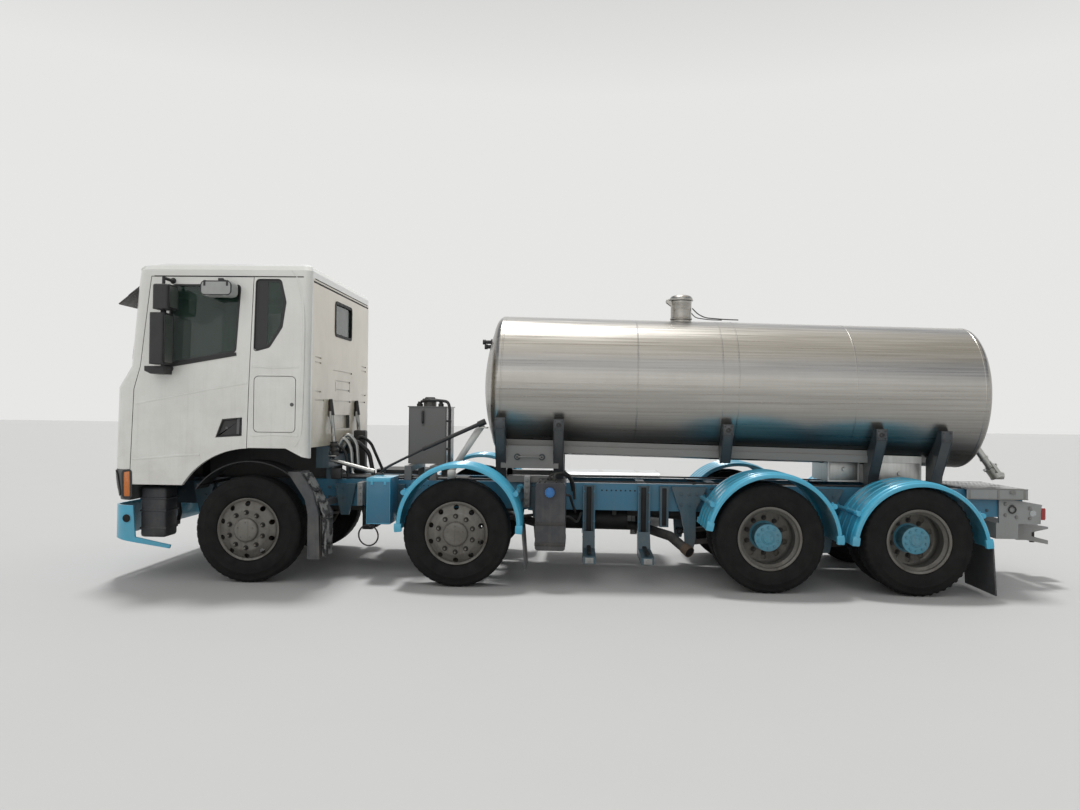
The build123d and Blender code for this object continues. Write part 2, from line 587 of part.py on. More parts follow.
# Brackets bolted to the rails: cab pivots, the rear cab support, spring hangers with their
# pins, the empty tank brackets and a side box
HANGER_FACE = RAIL_OUTER_Y + 70
PIVOT_FACE = 510
PIVOT_BRACKET = (
    (1060, 745),
    (1060, 855),
    (1230, 855),
    (1290, 835),
    (1312, 815),
    (1312, 785),
    (1290, 765),
    (1230, 745),
)
HOOP_X = (AXLE_1 - 580, AXLE_1 - 520)
EMPTY_BRACKET_X = (-3248, -3806)
BRACKET_HALF = 62
POST_HALF = 45
BRACKET_REACH = 1050
BRACKET_LOW = 215
with BuildPart() as frame_brackets:
    for side in SIDES:
        side_plate(shifted(PIVOT_BRACKET), (side * RAIL_OUTER_Y, side * PIVOT_FACE))
        cross_cylinder(TILT_X, TILT_Z, PIN_RADIUS, (side * PIVOT_FACE, side * 600))
        leg_y = (side * 360, side * 425)
        block(HOOP_X, leg_y, (RAIL_TOP, 1120))
        block((HOOP_X[0], AXLE_1 - 450), (side * 470, side * 560), (1060, CAB_FLOOR_Z - DOOR_GAP))
    block(HOOP_X, (-560, 560), (1060, 1180))
    for distance in EMPTY_BRACKET_X:
        x = AXLE_1 + distance
        block((x - BRACKET_HALF, x + BRACKET_HALF), (RAIL_OUTER_Y, HANGER_FACE), (BRACKET_LOW, 920))
        arm = (
            (HANGER_FACE, BRACKET_LOW),
            (BRACKET_REACH, BRACKET_LOW),
            (BRACKET_REACH, 285),
            (600, 300),
            (HANGER_FACE, 460),
        )
        front_plate(arm, (x - BRACKET_HALF, x + BRACKET_HALF))
        open_y = (RAIL_OUTER_Y + 12, HANGER_FACE + 1)
        block((x - POST_HALF, x + POST_HALF), open_y, (330, 921), Mode.SUBTRACT)
    x = AXLE_1 - 4010
    block((x - POST_HALF, x + POST_HALF), (RAIL_OUTER_Y, HANGER_FACE), (510, 920))
    box_x = (AXLE_1 - 1290, AXLE_1 - 1060)
    block(box_x, (HANGER_FACE, 900), (540, 985))
    for x in (AXLE_1 + LEAF_HALF, AXLE_1 - LEAF_HALF, AXLE_2 + LEAF_HALF, AXLE_2 - LEAF_HALF):
        for side in SIDES:
            eye_z = SPRING_SEAT_Z + LEAF_RISE + 8
            inner = side * (SPRING_Y + LEAF_WIDTH / 2)
            outer = side * HANGER_FACE
            web = ((x - 110, 900), (x + 110, 900), (x + 70, 680), (x - 70, 680))
            side_plate(web, (side * RAIL_OUTER_Y, outer))
            cheek = ((x - 70, 700), (x + 70, 700), (x + 40, eye_z - 34), (x - 40, eye_z - 34))
            side_plate(cheek, (inner, outer))
            cross_cylinder(x, eye_z, SPRING_PIN, (side * (SPRING_Y - LEAF_WIDTH / 2), inner))
    for axle in (AXLE_3, AXLE_4):
        for side in SIDES:
            x = axle + ARM_FRONT
            inner = side * (SPRING_Y + LEAF_WIDTH / 2)
            outer = side * HANGER_FACE
            web = ((x - 170, 920), (x + 190, 920), (x + 110, 690), (x - 60, 690))
            side_plate(web, (side * RAIL_OUTER_Y, outer))
            leg = ((x - 60, 700), (x + 110, 700), (x + 60, 500), (x + 45, 280), (x - 35, 280), (x - 60, 400))
            side_plate(leg, (inner, outer))
            cross_cylinder(x, ARM_PIN_Z, SPRING_PIN, (side * (SPRING_Y - LEAF_WIDTH / 2), inner))
write(frame_brackets.part, "frame_brackets")

# Doors, each as thick as the whole door, with the window cut and a handle recess
HANDLE = ((330, 1377), (266, 1554), (73, 1574), (75, 1395))
HANDLE_DEPTH = 22
with BuildPart() as handle_prism:
    side_plate(shifted(HANDLE), (-1400, 1400))
    add(cab_form(HANDLE_DEPTH), mode=Mode.SUBTRACT)


def one_side(whole, side):
    with BuildPart() as half:
        add(whole)
        split(bisect_by=Plane.XZ, keep=Keep.BOTTOM if side > 0 else Keep.TOP)
    return half.part


with BuildPart() as both_doors:
    add(cab_shell.part)
    add(door_prism.part, mode=Mode.INTERSECT)
    add(door_window, mode=Mode.SUBTRACT)
    add(handle_prism.part, mode=Mode.SUBTRACT)
with BuildPart() as both_panes:
    add(glass_shell.part)
    add(door_window, mode=Mode.INTERSECT)

MIRROR_ARM = 15
MIRROR_Y = 1385
with BuildPart() as mirror_frame:
    cross_cylinder(AXLE_1 + 775, 2872, MIRROR_ARM, (1150, MIRROR_Y))
    upright_cylinder(AXLE_1 + 775, MIRROR_Y, MIRROR_ARM, (2020, 2872 + MIRROR_ARM))
    bracket = ((940, 2045), (940, 2000), (880, 1972), (760, 1972), (760, 2045))
    side_plate(shifted(bracket), (1150, MIRROR_Y + MIRROR_ARM))
    add(cab_outer, mode=Mode.SUBTRACT)
# Columns: low x, high x, low z, high z, from axle 1
MIRROR_HEADS = ((680, 845, 2575, 2808), (720, 872, 2062, 2540))
with BuildPart() as mirror_heads:
    for low_x, high_x, low_z, high_z in MIRROR_HEADS:
        block((AXLE_1 + low_x, AXLE_1 + high_x), (1290, 1480), (low_z, high_z))
    fillet(mirror_heads.edges().filter_by(Axis.Z), 40)
    fillet(mirror_heads.edges().group_by(Axis.Z)[-1], 20)
with BuildPart() as kerb_mirror:
    block((AXLE_1 + 125, AXLE_1 + 420), (1230, 1400), (2712, 2850))
    fillet(kerb_mirror.edges().filter_by(Axis.Y), 45)
    cross_cylinder(AXLE_1 + 270, 2865, 22, (1150, 1290))
    add(cab_outer, mode=Mode.SUBTRACT)
for side, name in ((1, "left"), (-1, "right")):
    write(one_side(both_doors.part, side), "door_" + name)
    write(one_side(both_panes.part, side), "door_glass_" + name)
    with BuildPart() as mirrors:
        if side > 0:
            add(mirror_frame.part)
            add(mirror_heads.part)
            add(kerb_mirror.part)
        else:
            add(mirror_frame.part.mirror(Plane.XZ))
            add(mirror_heads.part.mirror(Plane.XZ))
    write(mirrors.part, "mirrors_" + name)
    with BuildPart() as locker_flap:
        add(cab_outer)
        add(flap_inner, mode=Mode.SUBTRACT)
        add(locker_prism.part, mode=Mode.INTERSECT)
    write(one_side(locker_flap.part, side), "locker_flap_" + name)

# Front hatch with the grille's slots
SLOT_HEIGHT = 58
SLOT_PITCH = 96
SLOT_START = 1175
SLOT_COUNT = 6
SLOT_HALF = 760
with BuildPart() as front_hatch:
    add(cab_outer)
    add(cab_inner, mode=Mode.SUBTRACT)
    region_x = (AXLE_1 + 1200, AXLE_1 + 1450)
    block(region_x, (-HATCH_HALF, HATCH_HALF), (HATCH_BOTTOM, HATCH_TOP), Mode.INTERSECT)
    for n in range(SLOT_COUNT):
        low = SLOT_START + n * SLOT_PITCH
        block(region_x, (-SLOT_HALF, SLOT_HALF), (low, low + SLOT_HEIGHT), Mode.SUBTRACT)
write(front_hatch.part, "front_hatch")

# Two seats, and the dashboard with the steering column and wheel on the right hand side
SEAT_Y = 700
SEAT_HALF = 250
SEAT = (
    (380, 1330),
    (400, 1560),
    (470, 1600),
    (460, 1720),
    (0, 1690),
    (-120, 2400),
    (-230, 2400),
    (-160, 1620),
    (-60, 1560),
    (-20, 1330),
)
DASH = ((1150, 1600), (1170, 2010), (960, 2035), (860, 1960), (850, 1840), (960, 1600))
COLUMN_START = (AXLE_1 + 900, -SEAT_Y, 1880)
WHEEL_CENTRE = (AXLE_1 + 620, -SEAT_Y, 2010)
WHEEL_RING = 225
WHEEL_GRIP = 15
with BuildPart() as cab_interior:
    for side in SIDES:
        side_plate(shifted(SEAT), (side * (SEAT_Y - SEAT_HALF), side * (SEAT_Y + SEAT_HALF)))
    fillet(cab_interior.edges().filter_by(Axis.Y), 12)
    side_plate(shifted(DASH), (-1080, 1080))
    block((AXLE_1 + 900, AXLE_1 + 1080), (-380, 380), (TUNNEL_TOP, 1700))
    column = Vector(*WHEEL_CENTRE) - Vector(*COLUMN_START)
    with BuildSketch(Plane(origin=COLUMN_START, z_dir=column)):
        Circle(32)
    extrude(amount=column.length + 10)
    hub_plane = Plane(origin=WHEEL_CENTRE, x_dir=(0, 1, 0), z_dir=column)
    with BuildSketch(hub_plane):
        Circle(70)
        Rectangle(2 * WHEEL_RING, 36)
    extrude(amount=16, both=True)
    with BuildSketch(Plane(origin=WHEEL_CENTRE, x_dir=(0, 1, 0), z_dir=hub_plane.y_dir)):
        with Locations((WHEEL_RING, 0)):
            Circle(WHEEL_GRIP)
    revolve(axis=Axis(WHEEL_CENTRE, column))
write(cab_interior.part, "cab_interior")

# Wheels. Distances run outward from a tyre's centre plane.
BEAD_RADIUS = 286
FLANGE_RADIUS = 299
BEAD_HALF = 115
HAND_HOLE = 26
HAND_HOLE_COUNT = 10
RIM_BARREL = (
    (-127, 299),
    (-115, 299),
    (-115, 286),
    (-60, 286),
    (-40, 258),
    (60, 258),
    (85, 286),
    (115, 286),
    (115, 299),
    (127, 299),
    (127, 286),
    (120, 274),
    (90, 274),
    (64, 246),
    (-44, 246),
    (-66, 274),
    (-120, 274),
    (-127, 286),
)
STEER_DISC = (
    (95, 278),
    (115, 278),
    (132, 268),
    (152, 238),
    (170, 205),
    (175, 190),
    (175, 110),
    (163, 110),
    (163, 188),
    (158, 202),
    (141, 230),
    (121, 258),
    (95, 268),
)
TWIN_DISC = (
    (-95, 278),
    (-120, 278),
    (-135, 272),
    (-158, 250),
    (-160, 235),
    (-160, 110),
    (-172.5, 110),
    (-172.5, 246),
    (-150, 272),
    (-140, 284),
    (-95, 284),
)
STEER_HUB = ((-45, 100), (-45, 46), (120, 46), (120, 0), (207, 0), (207, 100), (200, 117), (150, 117), (150, 100))
STEER_DRUM = ((-85, 205), (60, 205), (60, 95), (45, 95), (45, 190), (-85, 190))
TWIN_HUB = (
    (-370, 100),
    (-370, 61),
    (-35, 61),
    (-35, 0),
    (62, 0),
    (62, 50),
    (50, 55),
    (50, 120),
    (44, 128),
    (20, 128),
    (14, 118),
    (-155, 118),
    (-155, 140),
    (-205, 140),
    (-205, 100),
)
TWIN_DRUM = ((-465, 205), (-220, 205), (-205, 190), (-205, 95), (-220, 95), (-225, 190), (-465, 190))
BORE_CLEARANCE = 0.05
SPINDLE_RADIUS = 45


def tyre_ring(x, y):
    with BuildPart() as ring:
        with BuildSketch(Plane.YZ.offset(x)):
            with BuildLine():
                Line((y - BEAD_HALF, HUB_Z + BEAD_RADIUS), (y + BEAD_HALF, HUB_Z + BEAD_RADIUS))
                for out in SIDES:
                    bead = (y + out * BEAD_HALF, HUB_Z + FLANGE_RADIUS)
                    shoulder = (y + out * 124, HUB_Z + 490)
                    Line((y + out * BEAD_HALF, HUB_Z + BEAD_RADIUS), bead)
                    ThreePointArc(bead, (y + out * 147, HUB_Z + 395), shoulder)
                    Line(shoulder, (y + out * 104, HUB_Z + TYRE_RADIUS))
                Line((y - 104, HUB_Z + TYRE_RADIUS), (y + 104, HUB_Z + TYRE_RADIUS))
            make_face()
        revolve(axis=Axis((x, 0, HUB_Z), (0, 1, 0)))
    return ring.part


def hand_holes(x, y, radius):
    with BuildSketch(Plane.XZ.offset(-y)) as pattern:
        with Locations((x, HUB_Z)):
            with PolarLocations(radius, HAND_HOLE_COUNT, start_angle=18):
                Circle(HAND_HOLE)
    extrude(pattern.sketch, amount=200, both=True, mode=Mode.SUBTRACT)


for number, x in ((1, AXLE_1), (2, AXLE_2)):
    for side, name in ((1, "left"), (-1, "right")):
        write(tyre_ring(x, side * WHEEL_Y), f"tyre_{number}_{name}")
        with BuildPart() as rim:
            turned(STEER_DISC, x, WHEEL_Y, side)
            hand_holes(x, side * WHEEL_Y, 247)
            turned(RIM_BARREL, x, WHEEL_Y, side)
            turned(STEER_HUB, x, WHEEL_Y, side)
            turned(STEER_DRUM, x, WHEEL_Y, side)
            bore = (side * (WHEEL_Y - 46), side * (WHEEL_Y + 120))
            cross_cylinder(x, HUB_Z, SPINDLE_RADIUS + BORE_CLEARANCE, bore, Mode.SUBTRACT)
        write(rim.part, f"rim_{number}_{name}")

for number, x in ((3, AXLE_3), (4, AXLE_4)):
    for side, name in ((1, "left"), (-1, "right")):
        with BuildPart() as tyres:
            add(tyre_ring(x, side * WHEEL_Y))
            add(tyre_ring(x, side * (WHEEL_Y - TWIN_SPACING)))
        write(tyres.part, f"tyres_{number}_{name}")
        with BuildPart() as rims:
            inner_y = WHEEL_Y - TWIN_SPACING
            turned(TWIN_DISC, x, WHEEL_Y, side)
            turned([(-along, radius) for along, radius in TWIN_DISC], x, inner_y, side)
            hand_holes(x, side * (WHEEL_Y + inner_y) / 2, 205)
            turned(RIM_BARREL, x, WHEEL_Y, side)
            turned([(-along, radius) for along, radius in RIM_BARREL], x, inner_y, side)
            turned(TWIN_HUB, x, WHEEL_Y, side)
            turned(TWIN_DRUM, x, WHEEL_Y, side)
            bore = (side * (WHEEL_Y - 371), side * (WHEEL_Y - 35))
            cross_cylinder(x, HUB_Z, DRIVE_SPINDLE + BORE_CLEARANCE, bore, Mode.SUBTRACT)
        write(rims.part, f"rims_{number}_{name}")

# Steering knuckles with kingpin, spindle and track rod arm
LUG_GAP = 1
LUG_THICK = 30
PLATE_Y = (1012, 1032)
ARM_LENGTH = 170
ROD_PIN = 12
ROD_EYE = 28
ROD_RADIUS = 18
ROD_ARM_HALF = 25
ROD_ARM_THICK = 22
PIN_LENGTH = 48
EYE_GAP = 6
EYE_DEPTH = 40
LOOSE_CLEARANCE = 3
for number, x in ((1, AXLE_1), (2, AXLE_2)):
    low_lug = (HUB_Z - EYE_HALF - LUG_GAP - LUG_THICK, HUB_Z - EYE_HALF - LUG_GAP)
    high_lug = (HUB_Z + EYE_HALF + LUG_GAP, HUB_Z + EYE_HALF + LUG_GAP + LUG_THICK)
    for side, name in ((1, "left"), (-1, "right")):
        with BuildPart() as knuckle:
            block((x - 55, x + 55), (side * PLATE_Y[0], side * PLATE_Y[1]), (low_lug[0], high_lug[1]))
            for lug in (low_lug, high_lug):
                block((x - 45, x + 45), (side * KINGPIN_Y, side * PLATE_Y[1]), lug)
                upright_cylinder(x, side * KINGPIN_Y, EYE_RADIUS, lug)
            upright_cylinder(x, side * KINGPIN_Y, PIN_RADIUS, (low_lug[0], high_lug[1]))
            cross_cylinder(x, HUB_Z, SPINDLE_RADIUS, (side * PLATE_Y[1], side * (WHEEL_Y + 115)))
            arm_z = (low_lug[0] - ROD_ARM_THICK, low_lug[0])
            arm_y = (side * (KINGPIN_Y - ROD_ARM_HALF), side * (KINGPIN_Y + ROD_ARM_HALF))
            block((x - ARM_LENGTH, x), arm_y, arm_z)
            upright_cylinder(x - ARM_LENGTH, side * KINGPIN_Y, ROD_ARM_HALF, arm_z)
            upright_cylinder(x - ARM_LENGTH, side * KINGPIN_Y, ROD_PIN, (arm_z[0] - PIN_LENGTH, arm_z[0]))
        write(knuckle.part, f"knuckle_{number}_{name}")
    # The right-hand eye is loose on its pin, where the steering linkage is opened
    eye_top = low_lug[0] - ROD_ARM_THICK - EYE_GAP
    eye_z = (eye_top - EYE_DEPTH, eye_top)
    with BuildPart() as rod:
        rod_z = (eye_z[0] + eye_z[1]) / 2
        reach = KINGPIN_Y - ROD_EYE + ROD_PIN / 2
        cross_cylinder(x - ARM_LENGTH, rod_z, ROD_RADIUS, (-reach, reach))
        for side in SIDES:
            upright_cylinder(x - ARM_LENGTH, side * KINGPIN_Y, ROD_EYE, eye_z)
            bore = ROD_PIN + (BORE_CLEARANCE if side > 0 else LOOSE_CLEARANCE)
            upright_cylinder(x - ARM_LENGTH, side * KINGPIN_Y, bore, eye_z, Mode.SUBTRACT)
    write(rod.part, f"track_rod_{number}")

# Half round wheel fenders, a pressed sheet with long ribs, rounded shoulders and deep rolled
# edges, capped at both lower ends of the outer edge.
# Columns: centre x from axle 1, centre z, radius, start angle, end angle, inner y
FENDERS = (
    (-2010, 574, 600, -6, 186, 800),
    (-4954, 493, 634, 8, 182, 580),
    (-6304, 430, 636, 3, 177, 580),
)
FENDER_OUTER_Y = 1250
FENDER_SHEET = 6
FENDER_LIP = 50
SHOULDER = 22
SHOULDER_CUT = 0.3
RIB_COUNT = 4
RIB_HALF = 16
RIB_RISE = 8
CAP_WIDTH = 38
CAP_ANGLE = 8
CAP_INNER = 62
CAP_OUTER = 7
STAY_RADIUS = 21
STAY_ANGLES = (30, 150)
STAY_SUNK = 5
STAY_INSET = 60


def fender(centre_x, centre_z, radius, start, end, inner_y, side):
    x = AXLE_1 + centre_x
    axis = Axis((x, 0, centre_z), (0, -1, 0))

    def cut_plane(degrees):
        angle = radians(degrees)
        return Plane(origin=(x, 0, centre_z), x_dir=(0, 1, 0), z_dir=(sin(angle), 0, -cos(angle)))

    half = FENDER_SHEET / 2
    low, high = inner_y + half, FENDER_OUTER_Y - half
    top = radius - RIB_RISE - half
    pitch = (high - low - 2 * SHOULDER) / RIB_COUNT
    with BuildPart() as piece:
        with BuildSketch(cut_plane(start)):
            with BuildLine() as sheet:
                points = [(low, radius - FENDER_LIP), (low, top - SHOULDER)]
                points.append((low + SHOULDER * SHOULDER_CUT, top - SHOULDER * SHOULDER_CUT))
                points.append((low + SHOULDER, top))
                for rib in range(RIB_COUNT):
                    middle = low + SHOULDER + (rib + 0.5) * pitch
                    points.append((middle - RIB_HALF, top))
                    points.append((middle - RIB_HALF / 2, radius - half))
                    points.append((middle + RIB_HALF / 2, radius - half))
                    points.append((middle + RIB_HALF, top))
                points.append((high - SHOULDER, top))
                points.append((high - SHOULDER * SHOULDER_CUT, top - SHOULDER * SHOULDER_CUT))
                points += [(high, top - SHOULDER), (high, radius - FENDER_LIP)]
                Polyline(*[(side * across, up) for across, up in points])
            trace(sheet.line, line_width=FENDER_SHEET)
        revolve(axis=axis, revolution_arc=end - start)
        for first in (start, end - CAP_ANGLE):
            with BuildSketch(cut_plane(first)):
                cap_middle = radius + (CAP_OUTER - CAP_INNER) / 2
                with Locations((side * (FENDER_OUTER_Y - CAP_WIDTH / 2), cap_middle)):
                    Rectangle(CAP_WIDTH, CAP_OUTER + CAP_INNER)
            revolve(axis=axis, revolution_arc=CAP_ANGLE)
        for stay in STAY_ANGLES:
            reach = radius + STAY_RADIUS - STAY_SUNK
            stay_x = x + reach * cos(radians(stay))
            stay_z = centre_z + reach * sin(radians(stay))
            stay_y = (side * RAIL_OUTER_Y, side * (FENDER_OUTER_Y - STAY_INSET))
            cross_cylinder(stay_x, stay_z, STAY_RADIUS, stay_y)
    return piece.part


with BuildPart() as fenders:
    for row in FENDERS:
        for side in SIDES:
            add(fender(*row, side))
    add(frame_brackets.part, mode=Mode.SUBTRACT)
write(fenders.part, "fenders")

# Grey mudguards behind the first wheels with the arch liners over the wheels on stays, and
# rubber flaps behind axles 2 and 4
LINER_RADIUS = 650
LINER_SHEET = 10
LINER_Y = (900, 1190)
LINER_ANGLES = (35, 129)
LINER_STAY = 15
LINER_STAY_ANGLE = 39.5
GUARD = (
    (-374, 1062),
    (-494, 1062),
    (-619, 869),
    (-678, 653),
    (-695, 237),
    (-575, 237),
    (-575, 653),
    (-545, 802),
)
GUARD_INNER = ((-420, 1064), (-475, 1064), (-600, 869), (-660, 653), (-676, 235), (-592, 235), (-592, 653))
GUARD_Y = (940, 1225)
GUARD_WALL = 20
GUARD_STAY = ((AXLE_1 - 650, AXLE_1 - 600), (700, 760))
REAR_FLAP = ((-6948, 500), (-6934, 500), (-6966, 30), (-6980, 30))
REAR_FLAP_Y = (600, 1235)
FRONT_FLAP = ((-2620, 570), (-2604, 570), (-2638, 187), (-2652, 187))
FRONT_FLAP_Y = (830, 1235)
with BuildPart() as mudguards:
    for side in SIDES:
        side_plate(shifted(GUARD), (side * GUARD_Y[0], side * GUARD_Y[1]))
        hollow_y = (side * (GUARD_Y[0] + GUARD_WALL), side * (GUARD_Y[1] - GUARD_WALL))
        side_plate(shifted(GUARD_INNER), hollow_y, Mode.SUBTRACT)
        block(GUARD_STAY[0], (side * RAIL_OUTER_Y, side * GUARD_Y[0]), GUARD_STAY[1])
        start = radians(LINER_ANGLES[0])
        liner_plane = Plane(origin=(AXLE_1, 0, HUB_Z), x_dir=(0, 1, 0), z_dir=(sin(start), 0, -cos(start)))
        with BuildSketch(liner_plane) as liner:
            with Locations((side * (LINER_Y[0] + LINER_Y[1]) / 2, LINER_RADIUS - LINER_SHEET / 2)):
                Rectangle(LINER_Y[1] - LINER_Y[0], LINER_SHEET)
        hub_axis = Axis((AXLE_1, 0, HUB_Z), (0, -1, 0))
        revolve(liner.sketch, axis=hub_axis, revolution_arc=LINER_ANGLES[1] - LINER_ANGLES[0])
        stay_x = AXLE_1 + LINER_RADIUS * cos(radians(LINER_STAY_ANGLE))
        stay_z = HUB_Z + LINER_RADIUS * sin(radians(LINER_STAY_ANGLE))
        cross_cylinder(stay_x, stay_z, LINER_STAY, (side * RAIL_OUTER_Y, side * LINER_Y[1]))
        side_plate(shifted(REAR_FLAP), (side * REAR_FLAP_Y[0], side * REAR_FLAP_Y[1]))
        side_plate(shifted(FRONT_FLAP), (side * FRONT_FLAP_Y[0], side * FRONT_FLAP_Y[1]))
    add(fenders.part, mode=Mode.SUBTRACT)
write(mudguards.part, "mudguards")

# Tank: a round barrel with dished heads on a slightly falling axis, and a manhole neck
AXIS_DIR = (-cos(radians(TANK_TILT)), 0, -sin(radians(TANK_TILT)))
AXIS_ORIGIN = (TANK_FRONT, 0, TANK_FRONT_Z)
CROWN_RADIUS = 590
CROWN_DROP = 100
NECK_X = AXLE_1 - 4215
NECK_RADIUS = 112
NECK_TOP = 2865


def axis_z(x):
    return TANK_FRONT_Z + (x - TANK_FRONT) * sin(radians(TANK_TILT))


with BuildPart() as barrel:
    with BuildSketch(Plane(origin=AXIS_ORIGIN, x_dir=AXIS_DIR, z_dir=(0, 1, 0))):
        with BuildLine():
            far = TANK_LENGTH + HEAD_DEPTH
            crown = HEAD_DEPTH - CROWN_DROP
            front_arc = ThreePointArc((-HEAD_DEPTH, 0), (-HEAD_DEPTH + 27, 300), (-crown, CROWN_RADIUS))
            TangentArc((-crown, CROWN_RADIUS), (0, TANK_RADIUS), tangent=front_arc % 1)
            Line((0, TANK_RADIUS), (TANK_LENGTH, TANK_RADIUS))
            rear_arc = ThreePointArc((far, 0), (far - 27, 300), (TANK_LENGTH + crown, CROWN_RADIUS))
            TangentArc((TANK_LENGTH + crown, CROWN_RADIUS), (TANK_LENGTH, TANK_RADIUS), tangent=rear_arc % 1)
            Line((far, 0), (-HEAD_DEPTH, 0))
        make_face()
    revolve(axis=Axis(AXIS_ORIGIN, AXIS_DIR))

LID_HINGE_X = NECK_X + 145
LID_PIN = 6
LID_LUG_Y = (22, 38)
with BuildPart() as tank:
    upright_cylinder(NECK_X, 0, NECK_RADIUS, (2500, NECK_TOP))
    for side in SIDES:
        lug = (
            (NECK_X + 60, 2790),
            (LID_HINGE_X + 16, 2850),
            (LID_HINGE_X + 16, 2880),
            (LID_HINGE_X - 8, 2880),
            (LID_HINGE_X - 14, 2870),
            (NECK_X + 100, 2858),
            (NECK_X + 60, 2855),
        )
        lug_y = (side * LID_LUG_Y[0], side * LID_LUG_Y[1])
        side_plate(lug, lug_y)
    cross_cylinder(LID_HINGE_X, 2870, LID_PIN, (-LID_LUG_Y[1], LID_LUG_Y[1]))
    add(barrel.part)
write(tank.part, "tank")

# Manhole lid with its hinge barrel
LID_RADIUS = 128
with BuildPart() as manhole_lid:
    upright_cylinder(NECK_X, 0, LID_RADIUS, (NECK_TOP + 6, NECK_TOP + 70))
    fillet(manhole_lid.edges().group_by(Axis.Z)[-1], 18)
    block((NECK_X + 100, LID_HINGE_X), (-15, 15), (2874, 2892))
    cross_cylinder(LID_HINGE_X, 2870, 14, (-15, 15))
    cross_cylinder(LID_HINGE_X, 2870, LID_PIN + BORE_CLEARANCE, (-16, 16), Mode.SUBTRACT)
write(manhole_lid.part, "manhole_lid")

# Tank supports: two bearers with packing strips, and five pairs of legs.
# Columns: x from axle 1, lowest z
LEGS = ((-2347, 0), (-2933, 0), (-4606, 1), (-6095, 0), (-6720, 0))
LEG_HALF = 51
BEARER_Y = 450
BEARER_HALF = 35
BEARER_X = (-2360, -6050)
BEARER_DROP = 622
BEARER_DEPTH = 72
PACKING = 70
PACKING_HALF = 15
LEG_TOP_Y = (640, 742)
LEG_FOOT_Y = (360, 485)
LEG_TOP_DROP = 350
LEG_CHEEK = 105
LEG_WAIST = 390
SADDLE_PACK = ((AXLE_1 - 3000, AXLE_1 - 2290), (370, 470), 1010)
STUD_PLATE_Y = (548, 560)
STUD_PLATE_Z = (1090, 1318)
BAR_X = (AXLE_1 - 2780, AXLE_1 - 2500)
BAR_PLACE = (600, 1205)
BAR_RADIUS = 9
STUD_RADIUS = 17
STUD_INSET = 15
STUD_REACH = 612
with BuildPart() as tank_supports:
    for side in SIDES:
        ends = [AXLE_1 + distance for distance in BEARER_X]
        tops = [axis_z(x) - BEARER_DROP for x in ends]
        bearer = (
            (ends[0], tops[0]),
            (ends[1], tops[1]),
            (ends[1], tops[1] - BEARER_DEPTH),
            (ends[0], tops[0] - BEARER_DEPTH),
        )
        side_plate(bearer, (side * (BEARER_Y - BEARER_HALF), side * (BEARER_Y + BEARER_HALF)))
        packing = (
            (ends[0], tops[0]),
            (ends[1], tops[1]),
            (ends[1], tops[1] + PACKING),
            (ends[0], tops[0] + PACKING),
        )
        side_plate(packing, (side * (BEARER_Y - PACKING_HALF), side * (BEARER_Y + PACKING_HALF)))
        for distance, short in LEGS:
            x = AXLE_1 + distance
            top = axis_z(x) - LEG_TOP_DROP
            low = axis_z(x) - BEARER_DROP - BEARER_DEPTH if short else RAIL_TOP
            leg = (
                (side * LEG_TOP_Y[0], top),
                (side * LEG_TOP_Y[1], top),
                (side * LEG_TOP_Y[1], top - LEG_CHEEK),
                (side * (565 if short else 520), top - LEG_WAIST if short else 1070),
                (side * LEG_FOOT_Y[1], low),
                (side * LEG_FOOT_Y[0], low),
                (side * LEG_FOOT_Y[0], top - 160),
            )
            front_plate(leg, (x - LEG_HALF, x + LEG_HALF))
        saddle_y = (side * SADDLE_PACK[1][0], side * SADDLE_PACK[1][1])
        block(SADDLE_PACK[0], saddle_y, (RAIL_TOP, SADDLE_PACK[2]))
    block((AXLE_1 + LEGS[1][0], AXLE_1 + LEGS[0][0]), STUD_PLATE_Y, STUD_PLATE_Z)
    with BuildSketch(Plane.YZ.offset(BAR_X[0])) as bar:
        with Locations(BAR_PLACE):
            Circle(BAR_RADIUS)
    extrude(bar.sketch, amount=BAR_X[1] - BAR_X[0])
    for stud_x in (BAR_X[0] + STUD_INSET, BAR_X[1] - STUD_INSET):
        cross_cylinder(stud_x, BAR_PLACE[1], STUD_RADIUS, (STUD_PLATE_Y[1], STUD_REACH))
    add(barrel.part, mode=Mode.SUBTRACT)
write(tank_supports.part, "tank_supports")

# Discharge gear: two stainless boxes under the tank and the rear outlet pipe with its valve
OUTLET_START = (AXLE_1 - 7180, 0, 1560)
OUTLET_END = (AXLE_1 - 7545, 0, 1045)
OUTLET_RADIUS = 38
VALVE_RADIUS = 62
VALVE_LENGTH = 110
STUB_RADIUS = 40
STUB_X = (AXLE_1 - 7610, AXLE_1 - 7530)
STUB_Z = OUTLET_END[2] + 10
OUTLET_BORE = 30
OUTLET_DEPTH = 60
